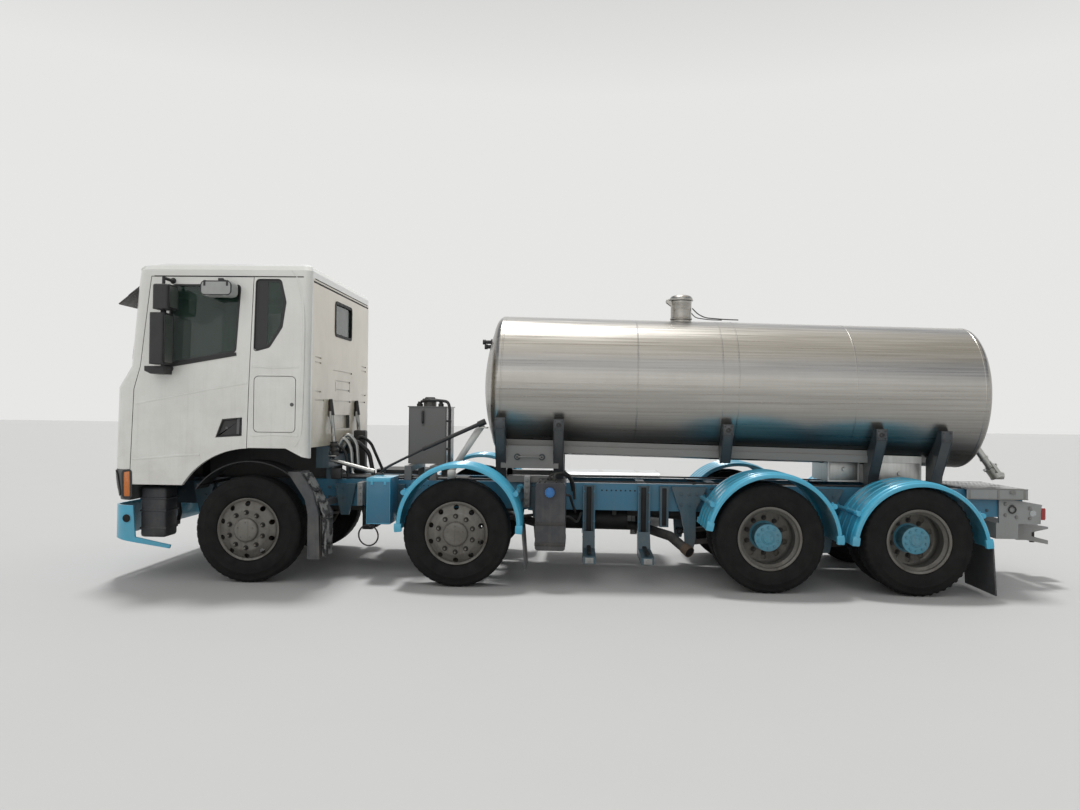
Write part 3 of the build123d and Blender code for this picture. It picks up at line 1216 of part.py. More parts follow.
# Boxes: x, half width, z
PUMP_BOX = ((AXLE_1 - 6610, AXLE_1 - 6160), 400, (955, 1400))
METER_BOX = ((AXLE_1 - 6020, AXLE_1 - 5700), 300, (985, 1400))
with BuildPart() as discharge:
    for box_x, half, box_z in (PUMP_BOX, METER_BOX):
        block(box_x, (-half, half), box_z)
    fall = Vector(*OUTLET_END) - Vector(*OUTLET_START)
    with BuildSketch(Plane(origin=OUTLET_START, z_dir=fall)) as pipe:
        Circle(OUTLET_RADIUS)
    extrude(pipe.sketch, amount=fall.length)
    with BuildSketch(Plane(origin=OUTLET_END, z_dir=fall)) as valve:
        Circle(VALVE_RADIUS)
    extrude(valve.sketch, amount=-VALVE_LENGTH)
    with BuildSketch(Plane.YZ.offset(STUB_X[0])) as stub:
        with Locations((0, STUB_Z)):
            Circle(STUB_RADIUS)
    extrude(stub.sketch, amount=STUB_X[1] - STUB_X[0])
    with BuildSketch(Plane.YZ.offset(STUB_X[0])) as outlet:
        with Locations((0, STUB_Z)):
            Circle(OUTLET_BORE)
    extrude(outlet.sketch, amount=OUTLET_DEPTH, mode=Mode.SUBTRACT)
    add(barrel.part, mode=Mode.SUBTRACT)
write(discharge.part, "discharge")

# Grey oil tank behind the cab, on two cross bearers
OIL_X = (AXLE_1 - 1710, AXLE_1 - 1298)
OIL_Y = (-560, 40)
OIL_Z = (1088, 1708)
OIL_CORNER = 18
OIL_RIM = 8
OIL_RIM_DEPTH = 12
FILLER_Y = -120
FILLER_RADIUS = 70
FILLER_RISE = 55
BEARER_WIDTH = 70
BEARER_TOP = 1030
with BuildPart() as oil_tank:
    block(OIL_X, OIL_Y, OIL_Z)
    fillet(oil_tank.edges().filter_by(Axis.Z), OIL_CORNER)
    rim_x = (OIL_X[0] - OIL_RIM, OIL_X[1] + OIL_RIM)
    rim_y = (OIL_Y[0] - OIL_RIM, OIL_Y[1] + OIL_RIM)
    block(rim_x, rim_y, (OIL_Z[1] - OIL_RIM_DEPTH, OIL_Z[1]))
    middle = (OIL_X[0] + OIL_X[1]) / 2
    upright_cylinder(middle, FILLER_Y, FILLER_RADIUS, (OIL_Z[1], OIL_Z[1] + FILLER_RISE))
    for x in (OIL_X[0] + 40, OIL_X[1] - 40 - BEARER_WIDTH):
        block((x, x + BEARER_WIDTH), (-RAIL_OUTER_Y, RAIL_OUTER_Y), (BEARER_TOP, OIL_Z[0]))
        for side in SIDES:
            block((x, x + BEARER_WIDTH), (side * 370, side * RAIL_OUTER_Y), (RAIL_TOP, BEARER_TOP))
write(oil_tank.part, "oil_tank")

# Urea tank on the left and fuel tank on the right
UREA_X = (AXLE_1 - 3015, AXLE_1 - 2728)
UREA_FACE = 1120
UREA_Z = (345, 985)
UREA_CORNER = 30
UREA_ARM = ((AXLE_1 - 2960, AXLE_1 - 2860), (680, 900))
UREA_CAP = (AXLE_1 - 2865, 900, 40)
with BuildPart() as urea_tank:
    block(UREA_X, (HANGER_FACE, UREA_FACE), UREA_Z)
    fillet(urea_tank.edges().filter_by(Axis.Y), UREA_CORNER)
    block(UREA_ARM[0], (RAIL_OUTER_Y, HANGER_FACE), UREA_ARM[1])
    cross_cylinder(*UREA_CAP, (UREA_FACE, UREA_FACE + 22))
write(urea_tank.part, "urea_tank")

FUEL_X = (AXLE_1 - 4060, AXLE_1 - 2740)
FUEL_Y = (-1150, -520)
FUEL_Z = (370, 990)
FUEL_CORNER = 110
FUEL_ARM_Z = (560, 800)
FUEL_CAP = (FUEL_X[1] - 170, -800, 55)
with BuildPart() as fuel_tank:
    block(FUEL_X, FUEL_Y, FUEL_Z)
    fillet(fuel_tank.edges().filter_by(Axis.X), FUEL_CORNER)
    for x in (FUEL_X[0] + 250, FUEL_X[1] - 350):
        block((x, x + 100), (FUEL_Y[1] - 10, -RAIL_OUTER_Y), FUEL_ARM_Z)
    upright_cylinder(*FUEL_CAP, (FUEL_Z[1], FUEL_Z[1] + 25))
write(fuel_tank.part, "fuel_tank")

# Exhaust: silencer on the right, pipe under the frame to the outlet on the left
SILENCER_X = (AXLE_1 - 1370, AXLE_1 - 820)
SILENCER_Y = (-1120, -515)
SILENCER_Z = (430, 980)
SILENCER_CORNER = 60
SILENCER_ARM = ((AXLE_1 - 1060, AXLE_1 - 960), (690, 900))
PIPE_RADIUS = 48
PIPE_BEND = 90
# Columns: x from axle 1, y, z
PIPE_ROUTE = (
    (-1370, -630, 600),
    (-2180, -630, 580),
    (-2440, -560, 460),
    (-2700, -220, 440),
    (-3800, -220, 430),
    (-4060, 640, 440),
    (-4220, 880, 320),
)
with BuildPart() as exhaust:
    block(SILENCER_X, SILENCER_Y, SILENCER_Z)
    fillet(exhaust.edges().filter_by(Axis.Z), SILENCER_CORNER)
    block(SILENCER_ARM[0], (SILENCER_Y[1] - 5, -RAIL_OUTER_Y), SILENCER_ARM[1])
    with BuildLine() as route:
        FilletPolyline(*[(AXLE_1 + x, y, z) for x, y, z in PIPE_ROUTE], radius=PIPE_BEND)
    with BuildSketch(Plane(origin=route.line @ 0, z_dir=route.line % 0)) as bore:
        Circle(PIPE_RADIUS)
    sweep(bore.sketch, path=route.line)
write(exhaust.part, "exhaust")

# Rear coupling: deck plate, flared side plates, end beam, jaw, and the two rear lamps
DRAWBAR = ((-7357, 865), (-7783, 796), (-7740, 596), (-7359, 608))
BEAM_END = AXLE_1 - 7783
JAW_END = AXLE_1 - 8010
JAW_BORE = 26
JAW_HALF = 135
PLATE_THICK = 25
DECK_X = (AXLE_1 - 7620, AXLE_1 - 7020)
DECK_HALF = 500
DECK_SHEET = 12
DECK_SKIRT = 850
BEAM_DEPTH = 90
BEAM_Z = (600, 796)
TOOL_BOX = ((AXLE_1 - 7550, AXLE_1 - 7330), 455, (450, 609))
JAW = ((BEAM_END, 575), (JAW_END, 540), (JAW_END, 360), (BEAM_END, 400))
THROAT = ((BEAM_END - 60, 480), (JAW_END, 520), (JAW_END - 1, 400), (BEAM_END - 60, 440))
with BuildPart() as rear_coupling:
    block(DECK_X, (-DECK_HALF, DECK_HALF), (RAIL_TOP, RAIL_TOP + DECK_SHEET))
    for side in SIDES:
        skirt_y = (side * (DECK_HALF - DECK_SHEET), side * DECK_HALF)
        block(DECK_X, skirt_y, (DECK_SKIRT, RAIL_TOP))
        side_plate(shifted(DRAWBAR), (side * RAIL_OUTER_Y, side * (RAIL_OUTER_Y + PLATE_THICK)))
    block((BEAM_END, BEAM_END + BEAM_DEPTH), (-RAIL_OUTER_Y, RAIL_OUTER_Y), BEAM_Z)
    block(TOOL_BOX[0], (-TOOL_BOX[1], TOOL_BOX[1]), TOOL_BOX[2])
    side_plate(JAW, (-JAW_HALF, JAW_HALF))
    block((BEAM_END, BEAM_END + BEAM_DEPTH), (-JAW_HALF, JAW_HALF), (JAW[3][1], BEAM_Z[0]))
    side_plate(THROAT, (-JAW_HALF - 1, JAW_HALF + 1), Mode.SUBTRACT)
    upright_cylinder(BEAM_END - 130, 0, JAW_BORE, (350, 580), Mode.SUBTRACT)
write(rear_coupling.part, "rear_coupling")

with BuildPart() as rear_lamps:
    for side in SIDES:
        block((BEAM_END - 55, BEAM_END), (side * 180, side * 415), (640, 760))
    fillet(rear_lamps.edges().group_by(Axis.X)[0], 12)
write(rear_lamps.part, "rear_lamps")
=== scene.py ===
import bpy
import bmesh
from math import cos, pi, radians, sin
from mathutils import Matrix, Quaternion, Vector


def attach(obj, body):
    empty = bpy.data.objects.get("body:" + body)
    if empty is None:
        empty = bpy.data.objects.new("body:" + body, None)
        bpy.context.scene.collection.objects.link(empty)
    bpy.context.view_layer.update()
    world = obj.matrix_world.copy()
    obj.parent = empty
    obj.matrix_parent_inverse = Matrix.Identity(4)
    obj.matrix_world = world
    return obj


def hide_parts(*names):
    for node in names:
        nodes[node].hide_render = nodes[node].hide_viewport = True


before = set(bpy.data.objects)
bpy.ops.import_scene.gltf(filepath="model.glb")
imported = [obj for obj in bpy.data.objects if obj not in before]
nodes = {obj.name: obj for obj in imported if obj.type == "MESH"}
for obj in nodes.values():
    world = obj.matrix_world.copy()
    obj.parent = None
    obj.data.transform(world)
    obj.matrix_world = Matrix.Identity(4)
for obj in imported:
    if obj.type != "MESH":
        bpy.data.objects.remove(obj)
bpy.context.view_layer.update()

# Places marked "from axle 1" are measured forward from the first axle, in metres
axle1 = 3.305
axle2 = 1.315
axle3 = -1.615
axle4 = -2.980
hubZ = 0.508
wheelY = 1.085
twinSpacing = 0.345
railY = 0.430
webY = 0.4995  # outer face of the packing plates on the frame rails
sides = ((1, "left"), (-1, "right"))

# Camera, floor and light
cameraView = dict(place=(0.2043, 9.4701, 1.656), yaw=0.0407, pitch=0.0086, roll=0.0132, lens=29.31)
studio = dict(
    floorColour=(0.50, 0.50, 0.49), worldStrength=0.50,
    lamps=(("highSun", (0.10, -0.32, 1.0), 2.1, 9), ("sideFill", (0.25, 1.0, 0.75), 0.62, 70),
           ("farFill", (-0.30, -1.0, 0.60), 0.35, 70)),
    bands=((0.001, (0.80, 0.80, 0.79)), (0.34, (0.79, 0.79, 0.78)), (0.44, (0.68, 0.68, 0.67)),
           (0.52, (0.22, 0.26, 0.33)), (0.68, (0.18, 0.21, 0.27)), (0.82, (0.60, 0.57, 0.51)),
           (0.999, (0.86, 0.82, 0.75))),
)
yaw, pitch = cameraView["yaw"], cameraView["pitch"]
forward = Vector((sin(yaw) * cos(pitch), -cos(yaw) * cos(pitch), sin(pitch)))
cameraData = bpy.data.cameras.new("camera")
cameraData.lens = cameraView["lens"]
cameraData.sensor_width = 36
cameraData.clip_end = 400
camera = bpy.data.objects.new("camera", cameraData)
bpy.context.scene.collection.objects.link(camera)
camera.rotation_mode = "QUATERNION"
camera.rotation_quaternion = forward.to_track_quat("-Z", "Y") @ Quaternion((0, 0, 1), cameraView["roll"])
camera.location = cameraView["place"]
bpy.context.scene.camera = camera
bpy.context.scene.view_settings.view_transform = "Standard"

for name, direction, power, spread in studio["lamps"]:
    lampData = bpy.data.lights.new(name, "SUN")
    lampData.energy = power
    lampData.angle = radians(spread)
    lamp = bpy.data.objects.new(name, lampData)
    bpy.context.scene.collection.objects.link(lamp)
    lamp.rotation_euler = Vector(direction).to_track_quat("Z", "Y").to_euler()
print("camera and lights placed")


# Shader helpers. A value given to them is a plain value or another node's output.
def feed(tree, value, socket):
    if isinstance(value, bpy.types.NodeSocket):
        tree.links.new(value, socket)
    elif socket.type == "RGBA":
        socket.default_value = (*value[:3], 1)
    else:
        socket.default_value = value


def addNode(tree, kind, values=None, **settings):
    node = tree.nodes.new(kind)
    for label, value in settings.items():
        setattr(node, label, value)
    for label, value in (values or {}).items():
        feed(tree, value, node.inputs[label])
    return node


def ramp(tree, source, low, high, toLow=0.0, toHigh=1.0):
    return addNode(tree, "ShaderNodeMapRange", {0: source, 1: low, 2: high, 3: toLow, 4: toHigh}).outputs[0]


def combine(tree, operation, first, second):
    return addNode(tree, "ShaderNodeMath", {0: first, 1: second}, operation=operation, use_clamp=True).outputs[0]


def mixColour(tree, factor, first, second):
    return addNode(tree, "ShaderNodeMix", {0: factor, 6: first, 7: second}, data_type="RGBA").outputs[2]


def noise(tree, vector, scale, detail=4.0, roughness=0.55):
    values = {"Vector": vector, "Scale": scale, "Detail": detail, "Roughness": roughness}
    return addNode(tree, "ShaderNodeTexNoise", values).outputs["Fac"]


def stretched(tree, vector, scale):
    return addNode(tree, "ShaderNodeMapping", {"Vector": vector, "Scale": scale}).outputs[0]


def onObject(tree):
    return addNode(tree, "ShaderNodeTexCoord").outputs["Object"]


def axisOf(tree, vector, axis):
    return addNode(tree, "ShaderNodeSeparateXYZ", {0: vector}).outputs[axis]


def dotOf(tree, first, second):
    return addNode(tree, "ShaderNodeVectorMath", {0: first, 1: second}, operation="DOT_PRODUCT").outputs["Value"]


# Shader effects shared by several finishes
def effectGroup(name, inputs, outputs):
    tree = bpy.data.node_groups.new(name, "ShaderNodeTree")
    for label, kind, value in inputs:
        tree.interface.new_socket(label, in_out="INPUT", socket_type="NodeSocket" + kind).default_value = value
    for label, kind in outputs:
        tree.interface.new_socket(label, in_out="OUTPUT", socket_type="NodeSocket" + kind)
    return tree, tree.nodes.new("NodeGroupInput").outputs, tree.nodes.new("NodeGroupOutput").inputs


def soiledGroup():
    # road dirt: thin patches everywhere, thicker low down, and faint runs down the sides
    tree, given, result = effectGroup("soiledSurface", (
        ("Colour", "Color", (0.5, 0.5, 0.5, 1)), ("Dirt Colour", "Color", (0.20, 0.17, 0.13, 1)),
        ("Amount", "Float", 0.3), ("Low Height", "Float", 0.2), ("High Height", "Float", 1.4),
    ), (("Colour", "Color"), ("Mask", "Float")))
    place = onObject(tree)
    patches = ramp(tree, noise(tree, place, 3.2, 7, 0.62), 0.42, 0.72)
    specks = ramp(tree, noise(tree, place, 55, 3, 0.6), 0.50, 0.75)
    runs = ramp(tree, noise(tree, stretched(tree, place, (26, 26, 1.1)), 1.0, 5, 0.6), 0.52, 0.80)
    low = ramp(tree, axisOf(tree, place, "Z"), given["Low Height"], given["High Height"], 1.0, 0.12)
    film = combine(tree, "ADD", combine(tree, "MULTIPLY", patches, 0.65), combine(tree, "MULTIPLY", runs, 0.45))
    film = combine(tree, "ADD", film, combine(tree, "MULTIPLY", specks, 0.18))
    mask = combine(tree, "MULTIPLY", combine(tree, "MULTIPLY", film, low), given["Amount"])
    feed(tree, mixColour(tree, mask, given["Colour"], given["Dirt Colour"]), result["Colour"])
    feed(tree, mask, result["Mask"])
    return tree


def edgeGroup():
    # rounds hard edges in the shading, and finds them for wear
    tree, given, result = effectGroup("edgeFinish", (
        ("Radius", "Float", 0.004), ("Wear", "Float", 0.5),
    ), (("Normal", "Vector"), ("Mask", "Float")))
    soft = addNode(tree, "ShaderNodeBevel", {"Radius": given["Radius"]}, samples=4).outputs[0]
    feed(tree, soft, result["Normal"])
    hard = addNode(tree, "ShaderNodeNewGeometry").outputs["Normal"]
    edge = ramp(tree, dotOf(tree, soft, hard), 0.995, 0.90)
    broken = ramp(tree, noise(tree, onObject(tree), 38, 4, 0.65), 0.46, 0.62)
    mask = combine(tree, "MULTIPLY", combine(tree, "MULTIPLY", edge, broken), given["Wear"])
    feed(tree, mask, result["Mask"])
    return tree


def grainGroup():
    # fine moulded grain or orange peel, as a height
    tree, given, result = effectGroup("fineGrain", (
        ("Scale", "Float", 600.0),
    ), (("Height", "Float"), ("Mask", "Float")))
    place = onObject(tree)
    feed(tree, noise(tree, place, given["Scale"], 2, 0.5), result["Height"])
    feed(tree, noise(tree, place, 9.0, 4, 0.5), result["Mask"])
    return tree


def brushedGroup():
    # long fine lines along the barrel with faint waves of the sheet
    tree, given, result = effectGroup("brushedLines", (
        ("Along", "Vector", (1.0, 90.0, 90.0)),
    ), (("Height", "Float"), ("Wave", "Float"), ("Shade", "Float")))
    place = onObject(tree)
    lines = stretched(tree, place, given["Along"])
    feed(tree, noise(tree, lines, 3.0, 4, 0.7), result["Height"])
    feed(tree, noise(tree, stretched(tree, place, (0.5, 2.6, 2.6)), 1.0, 3, 0.5), result["Wave"])
    feed(tree, noise(tree, lines, 0.5, 5, 0.6), result["Shade"])
    return tree


effects = dict(soiled=soiledGroup(), edge=edgeGroup(), grain=grainGroup(), brushed=brushedGroup())
finishes = {}


def newFinish(name, **plain):
    material = bpy.data.materials.new(name)
    material.use_nodes = True
    shader = material.node_tree.nodes["Principled BSDF"]
    for label, value in plain.items():
        shader.inputs[label.replace("_", " ")].default_value = value
    finishes[name] = material
    return material.node_tree, shader


def useEffect(tree, effect, **values):
    node = addNode(tree, "ShaderNodeGroup")
    node.node_tree = effects[effect]
    for label, value in values.items():
        feed(tree, value, node.inputs[label.replace("_", " ")])
    return node.outputs


def setSurface(tree, shader, colour, rough, normal, *bumps):
    # bumps are (height, strength, distance), each laid over the one before
    for height, strength, distance in bumps:
        bump = addNode(tree, "ShaderNodeBump", {"Height": height, "Strength": strength, "Distance": distance})
        if normal is not None:
            feed(tree, normal, bump.inputs["Normal"])
        normal = bump.outputs[0]
    for label, value in (("Base Color", colour), ("Roughness", rough), ("Normal", normal)):
        if value is not None:
            feed(tree, value, shader.inputs[label])


def paintFinish(name, colour, roughness=0.35, dirt=0.3, dirtColour=(0.20, 0.17, 0.13), heights=(0.2, 1.4),
                wear=0.4, wearColour=(0.10, 0.07, 0.05), metallic=0.0, coat=0.3):
    tree, shader = newFinish(name, Metallic=metallic, Coat_Weight=coat, Coat_Roughness=0.12)
    soiled = useEffect(tree, "soiled", Colour=colour, Dirt_Colour=dirtColour, Amount=dirt,
                       Low_Height=heights[0], High_Height=heights[1])
    edge = useEffect(tree, "edge", Radius=0.004, Wear=wear)
    grain = useEffect(tree, "grain", Scale=220.0)
    worn = mixColour(tree, edge["Mask"], soiled["Colour"], wearColour)
    rough = ramp(tree, soiled["Mask"], 0.0, 0.8, roughness, min(roughness + 0.45, 0.95))
    setSurface(tree, shader, worn, rough, edge["Normal"], (grain["Height"], 0.035, 0.001))


def changeColour(name, colour, maskFrom):
    # lays another colour over a finish where the mask says
    tree = finishes[name].node_tree
    target = tree.nodes["Principled BSDF"].inputs["Base Color"]
    feed(tree, mixColour(tree, maskFrom(tree), target.links[0].from_socket, colour), target)


def paintShadeAlong(name, colour, start, full, axis="X", most=0.93):
    # paints shade over a finish: darkens it from start to full along one axis
    changeColour(name, colour, lambda tree: ramp(tree, axisOf(tree, onObject(tree), axis), start, full, 0.0, most))


def lineInside(name, colour, middle):
    # gives the faces that look towards the middle of the cab a dark lining
    def mask(tree):
        place = addNode(tree, "ShaderNodeTexCoord").outputs
        away = addNode(tree, "ShaderNodeVectorMath", {0: place["Object"], 1: middle}, operation="SUBTRACT").outputs[0]
        return ramp(tree, dotOf(tree, away, place["Normal"]), -0.02, -0.10)
    changeColour(name, colour, mask)


def foldShadeFinish(name, dark, pale):
    # sheet in crumpled folds, its dark and pale bands painted: shade in the hollows, highlights on the ridges
    tree, shader = newFinish(name, Roughness=0.5)
    values = {"Vector": onObject(tree), "Scale": 5.0, "Distortion": 7.0, "Detail": 3.0, "Detail Scale": 1.6}
    folds = addNode(tree, "ShaderNodeTexWave", values).outputs["Fac"]
    tone = mixColour(tree, ramp(tree, folds, 0.35, 0.75), dark, pale)
    setSurface(tree, shader, tone, None, None, (folds, 0.8, 0.012))


def plasticFinish(name, colour, paler, roughness=0.6, dirt=0.35, grainScale=900.0, grainDepth=0.25):
    tree, shader = newFinish(name)
    grain = useEffect(tree, "grain", Scale=grainScale)
    mottled = mixColour(tree, ramp(tree, grain["Mask"], 0.35, 0.7), colour, paler)
    soiled = useEffect(tree, "soiled", Colour=mottled, Dirt_Colour=(0.24, 0.21, 0.17), Amount=dirt,
                       Low_Height=0.2, High_Height=2.0)
    rough = ramp(tree, grain["Mask"], 0.3, 0.7, roughness - 0.08, roughness + 0.12)
    edge = useEffect(tree, "edge", Radius=0.004)
    setSurface(tree, shader, soiled["Colour"], rough, edge["Normal"], (grain["Height"], grainDepth, 0.0006))


def steelFinish(name, light, dark, along=(1.0, 90.0, 90.0), roughness=0.24, wave=0.30):
    tree, shader = newFinish(name, Metallic=1.0)
    lines = useEffect(tree, "brushed", Along=along)
    shade = mixColour(tree, ramp(tree, lines["Shade"], 0.35, 0.68), dark, light)
    soiled = useEffect(tree, "soiled", Colour=shade, Dirt_Colour=(0.23, 0.21, 0.18), Amount=0.25,
                       Low_Height=0.9, High_Height=2.9)
    rough = ramp(tree, lines["Shade"], 0.3, 0.7, roughness, roughness + 0.14)
    rough = combine(tree, "ADD", rough, combine(tree, "MULTIPLY", soiled["Mask"], 0.3))
    bumps = ((lines["Wave"], wave, 0.012), (lines["Height"], 0.10, 0.0005))
    setSurface(tree, shader, soiled["Colour"], rough, None, *bumps)


def rubberFinish(name, colour, dust, roughness=0.75, dirt=0.75):
    tree, shader = newFinish(name, Specular_IOR_Level=0.25)
    grain = useEffect(tree, "grain", Scale=420.0)
    soiled = useEffect(tree, "soiled", Colour=colour, Dirt_Colour=dust, Amount=dirt, Low_Height=0.0, High_Height=2.6)
    rough = ramp(tree, grain["Mask"], 0.3, 0.7, roughness - 0.1, roughness + 0.1)
    setSurface(tree, shader, soiled["Colour"], rough, None, (grain["Height"], 0.3, 0.0008))


def glassFinish(name, tint, alpha):
    # tinted glass under a thin uneven film of dust
    tree, shader = newFinish(name, Roughness=0.02, IOR=1.45, Metallic=0.0)
    patches = useEffect(tree, "grain", Scale=6.0)["Mask"]
    film = mixColour(tree, ramp(tree, patches, 0.3, 0.8, 0.0, 0.35), tint, tuple(2.2 * c for c in tint))
    setSurface(tree, shader, film, None, None)
    feed(tree, ramp(tree, patches, 0.3, 0.8, alpha, alpha + 0.08), shader.inputs["Alpha"])


def lensFinish(name, colour):
    # moulded lens with small cells
    tree, shader = newFinish(name, Roughness=0.12, Transmission_Weight=0.25, IOR=1.49, Coat_Weight=0.6)
    cells = addNode(tree, "ShaderNodeTexVoronoi", {"Vector": onObject(tree), "Scale": 130.0}).outputs["Distance"]
    tone = mixColour(tree, ramp(tree, cells, 0.0, 0.6), tuple(c * 0.7 for c in colour), colour)
    setSurface(tree, shader, tone, None, None, (cells, 0.4, 0.002))


paintFinish("cabWhite", (0.79, 0.79, 0.75), 0.30, 0.30, heights=(0.9, 3.2), wear=0.15, coat=0.5)
# painted light: the cab back is white like the rest of the cab, and this cream colour paints warm sunlight on it
paintFinish("sunlitBackWall", (0.71, 0.63, 0.49), 0.32, 0.35, heights=(0.9, 3.2), wear=0.15, coat=0.4)
paintFinish("frameBlue", (0.025, 0.17, 0.28), 0.42, 0.40, heights=(0.3, 1.8), wear=0.6)
for name in ("cabWhite", "sunlitBackWall"):
    lineInside(name, (0.055, 0.057, 0.055), (axle1 + 0.35, 0, 2.10))
# painted shade: the brackets share the frame's blue, and this darker blue paints the shade they sit in under and behind
# the cab
paintFinish("shadedBracketBlue", (0.030, 0.085, 0.12), 0.50, 0.65, heights=(0.3, 1.8), wear=0.7)
# painted shade: the frame rails and crossmembers darken forward of 0.20 m behind axle 1, under the cab
paintShadeAlong("frameBlue", (0.016, 0.022, 0.027), axle1 - 0.45, axle1 - 0.20)
paintFinish("capBlue", (0.015, 0.15, 0.42), 0.35, 0.25, wear=0.2)
paintFinish("oilGrey", (0.15, 0.15, 0.148), 0.42, 0.40, heights=(0.3, 2.2))
paintFinish("legSteel", (0.035, 0.042, 0.048), 0.40, 0.36, heights=(0.3, 2.2), wear=0.5)
paintFinish("fenderBlue", (0.055, 0.42, 0.62), 0.28, 0.36, heights=(0.4, 1.5), wear=0.35, coat=0.5)
paintFinish("hubBlue", (0.045, 0.26, 0.37), 0.40, 0.50, heights=(0.2, 1.3), wear=0.6)
paintFinish("greyPaint", (0.29, 0.30, 0.295), 0.45, 0.40, heights=(0.3, 1.9), wear=0.5)
paintFinish("paleGrey", (0.22, 0.22, 0.21), 0.50, 0.36, heights=(0.3, 1.9), wear=0.5)
paintFinish("chassisBlack", (0.030, 0.030, 0.031), 0.55, 0.60, heights=(0.2, 1.5), wear=0.6,
            wearColour=(0.12, 0.06, 0.03), coat=0.0)
paintFinish("rimSilver", (0.17, 0.162, 0.145), 0.46, 0.85, (0.055, 0.045, 0.035), (0.2, 1.6), 0.5,
            metallic=0.55, coat=0.1)
paintFinish("brightMetal", (0.60, 0.60, 0.58), 0.35, 0.35, heights=(0.2, 2.4), wear=0.2, metallic=1.0, coat=0.0)
paintFinish("rustyIron", (0.075, 0.046, 0.030), 0.75, 0.6, wear=0.3, coat=0.0)
paintFinish("nutSteel", (0.030, 0.029, 0.027), 0.42, 0.60, (0.05, 0.04, 0.03), (0.2, 1.6), 0.3, metallic=0.5, coat=0.0)
plasticFinish("blackPlastic", (0.018, 0.018, 0.019), (0.035, 0.035, 0.036), 0.50, 0.30)
plasticFinish("palePlastic", (0.36, 0.37, 0.36), (0.44, 0.45, 0.44), 0.55, 0.35)
plasticFinish("greyPlastic", (0.085, 0.088, 0.088), (0.13, 0.135, 0.135), 0.62, 0.45)
plasticFinish("smokedPlastic", (0.020, 0.016, 0.015), (0.032, 0.026, 0.024), 0.18, 0.15, grainDepth=0.02)
plasticFinish("seatCloth", (0.030, 0.032, 0.038), (0.060, 0.062, 0.070), 0.85, 0.1, 1500, 0.6)
plasticFinish("slatePlastic", (0.026, 0.029, 0.036), (0.045, 0.049, 0.057), 0.50, 0.40)
plasticFinish("guardPlastic", (0.050, 0.053, 0.058), (0.085, 0.089, 0.095), 0.58, 0.45)
# painted shade: the mudguards darken forward of 0.36 m behind axle 1, where they sit under the cab
paintShadeAlong("guardPlastic", (0.012, 0.012, 0.013), axle1 - 0.43, axle1 - 0.36)
# painted shade and highlights on the folds of the engine panels
foldShadeFinish("foldShadedPanel", (0.045, 0.046, 0.048), (0.24, 0.245, 0.24))
rubberFinish("tyreRubber", (0.0055, 0.0055, 0.0055), (0.027, 0.025, 0.022), dirt=0.36)
# near-black rubber for seals, bellows and strips; also painted shade in holes, the exhaust mouth and the groove under
# the roof's rear lip
rubberFinish("sealRubberAndShade", (0.012, 0.012, 0.012), (0.05, 0.05, 0.045), 0.6, 0.3)
steelFinish("tankSteel", (0.45, 0.435, 0.405), (0.34, 0.325, 0.30))
# painted reflection: the barrel darkens from height 1.72 down to 1.38, for the shaded ground its lower part reflects
paintShadeAlong("tankSteel", (0.12, 0.125, 0.13), 1.72, 1.38, "Z", 0.78)
steelFinish("plainSteel", (0.55, 0.55, 0.53), (0.43, 0.43, 0.41), (40.0, 40.0, 4.0), 0.34, 0.1)
steelFinish("aluminiumSkin", (0.60, 0.61, 0.61), (0.48, 0.49, 0.49), (2.0, 60.0, 60.0), 0.38, 0.12)
glassFinish("cabGlass", (0.022, 0.045, 0.034), 0.60)
glassFinish("darkGlass", (0.015, 0.018, 0.018), 0.88)
lensFinish("clearLens", (0.62, 0.64, 0.65))
lensFinish("amberLens", (0.80, 0.22, 0.02))
lensFinish("redLens", (0.45, 0.015, 0.012))
print("finishes made:", len(finishes))

nodeFinish = dict(
    cabWhite=("cab_roof", "cab_front", "cab_sides", "front_hatch", "door_left", "door_right",
              "locker_flap_left", "locker_flap_right"),
    sunlitBackWall=("cab_back",),
    blackPlastic=("cab_floor", "mirrors_left", "mirrors_right"),
    seatCloth=("cab_interior",),
    smokedPlastic=("sun_visor",),
    greyPlastic=("headlamps",),
    guardPlastic=("mudguards",),
    slatePlastic=("urea_tank",),
    cabGlass=("cab_glass", "door_glass_left", "door_glass_right"),
    fenderBlue=("bumper", "fenders"),
    frameBlue=("frame_rails", "crossmembers"),
    shadedBracketBlue=("frame_brackets",),
    chassisBlack=("axles", "springs", "powertrain", "exhaust", "knuckle_1_left", "knuckle_1_right",
                  "knuckle_2_left", "knuckle_2_right", "track_rod_1", "track_rod_2"),
    sealRubberAndShade=("air_bellows",),
    tankSteel=("tank", "manhole_lid"),
    plainSteel=("discharge",),
    paleGrey=("tank_supports",),
    greyPaint=("rear_coupling",),
    oilGrey=("oil_tank",),
    aluminiumSkin=("fuel_tank",),
    redLens=("rear_lamps",),
    tyreRubber=tuple(name for name in nodes if name.startswith("tyre")),
    rimSilver=tuple(name for name in nodes if name.startswith("rim")),
)
for finish, names in nodeFinish.items():
    for name in names:
        nodes[name].data.materials.clear()
        nodes[name].data.materials.append(finishes[finish])
print("CAD nodes finished")


# Mesh helpers. Each adds its faces to a bmesh; finishPiece makes the object.
def fromAxle(x, y, z):
    return Vector((axle1 + x, y, z))


def placed(points, side=1):
    # points measured from axle 1, on the left or mirrored to the right
    return [fromAxle(x, side * y, z) for x, y, z in points]


def circleAngles(segments):
    return [2 * pi * n / segments for n in range(segments)]


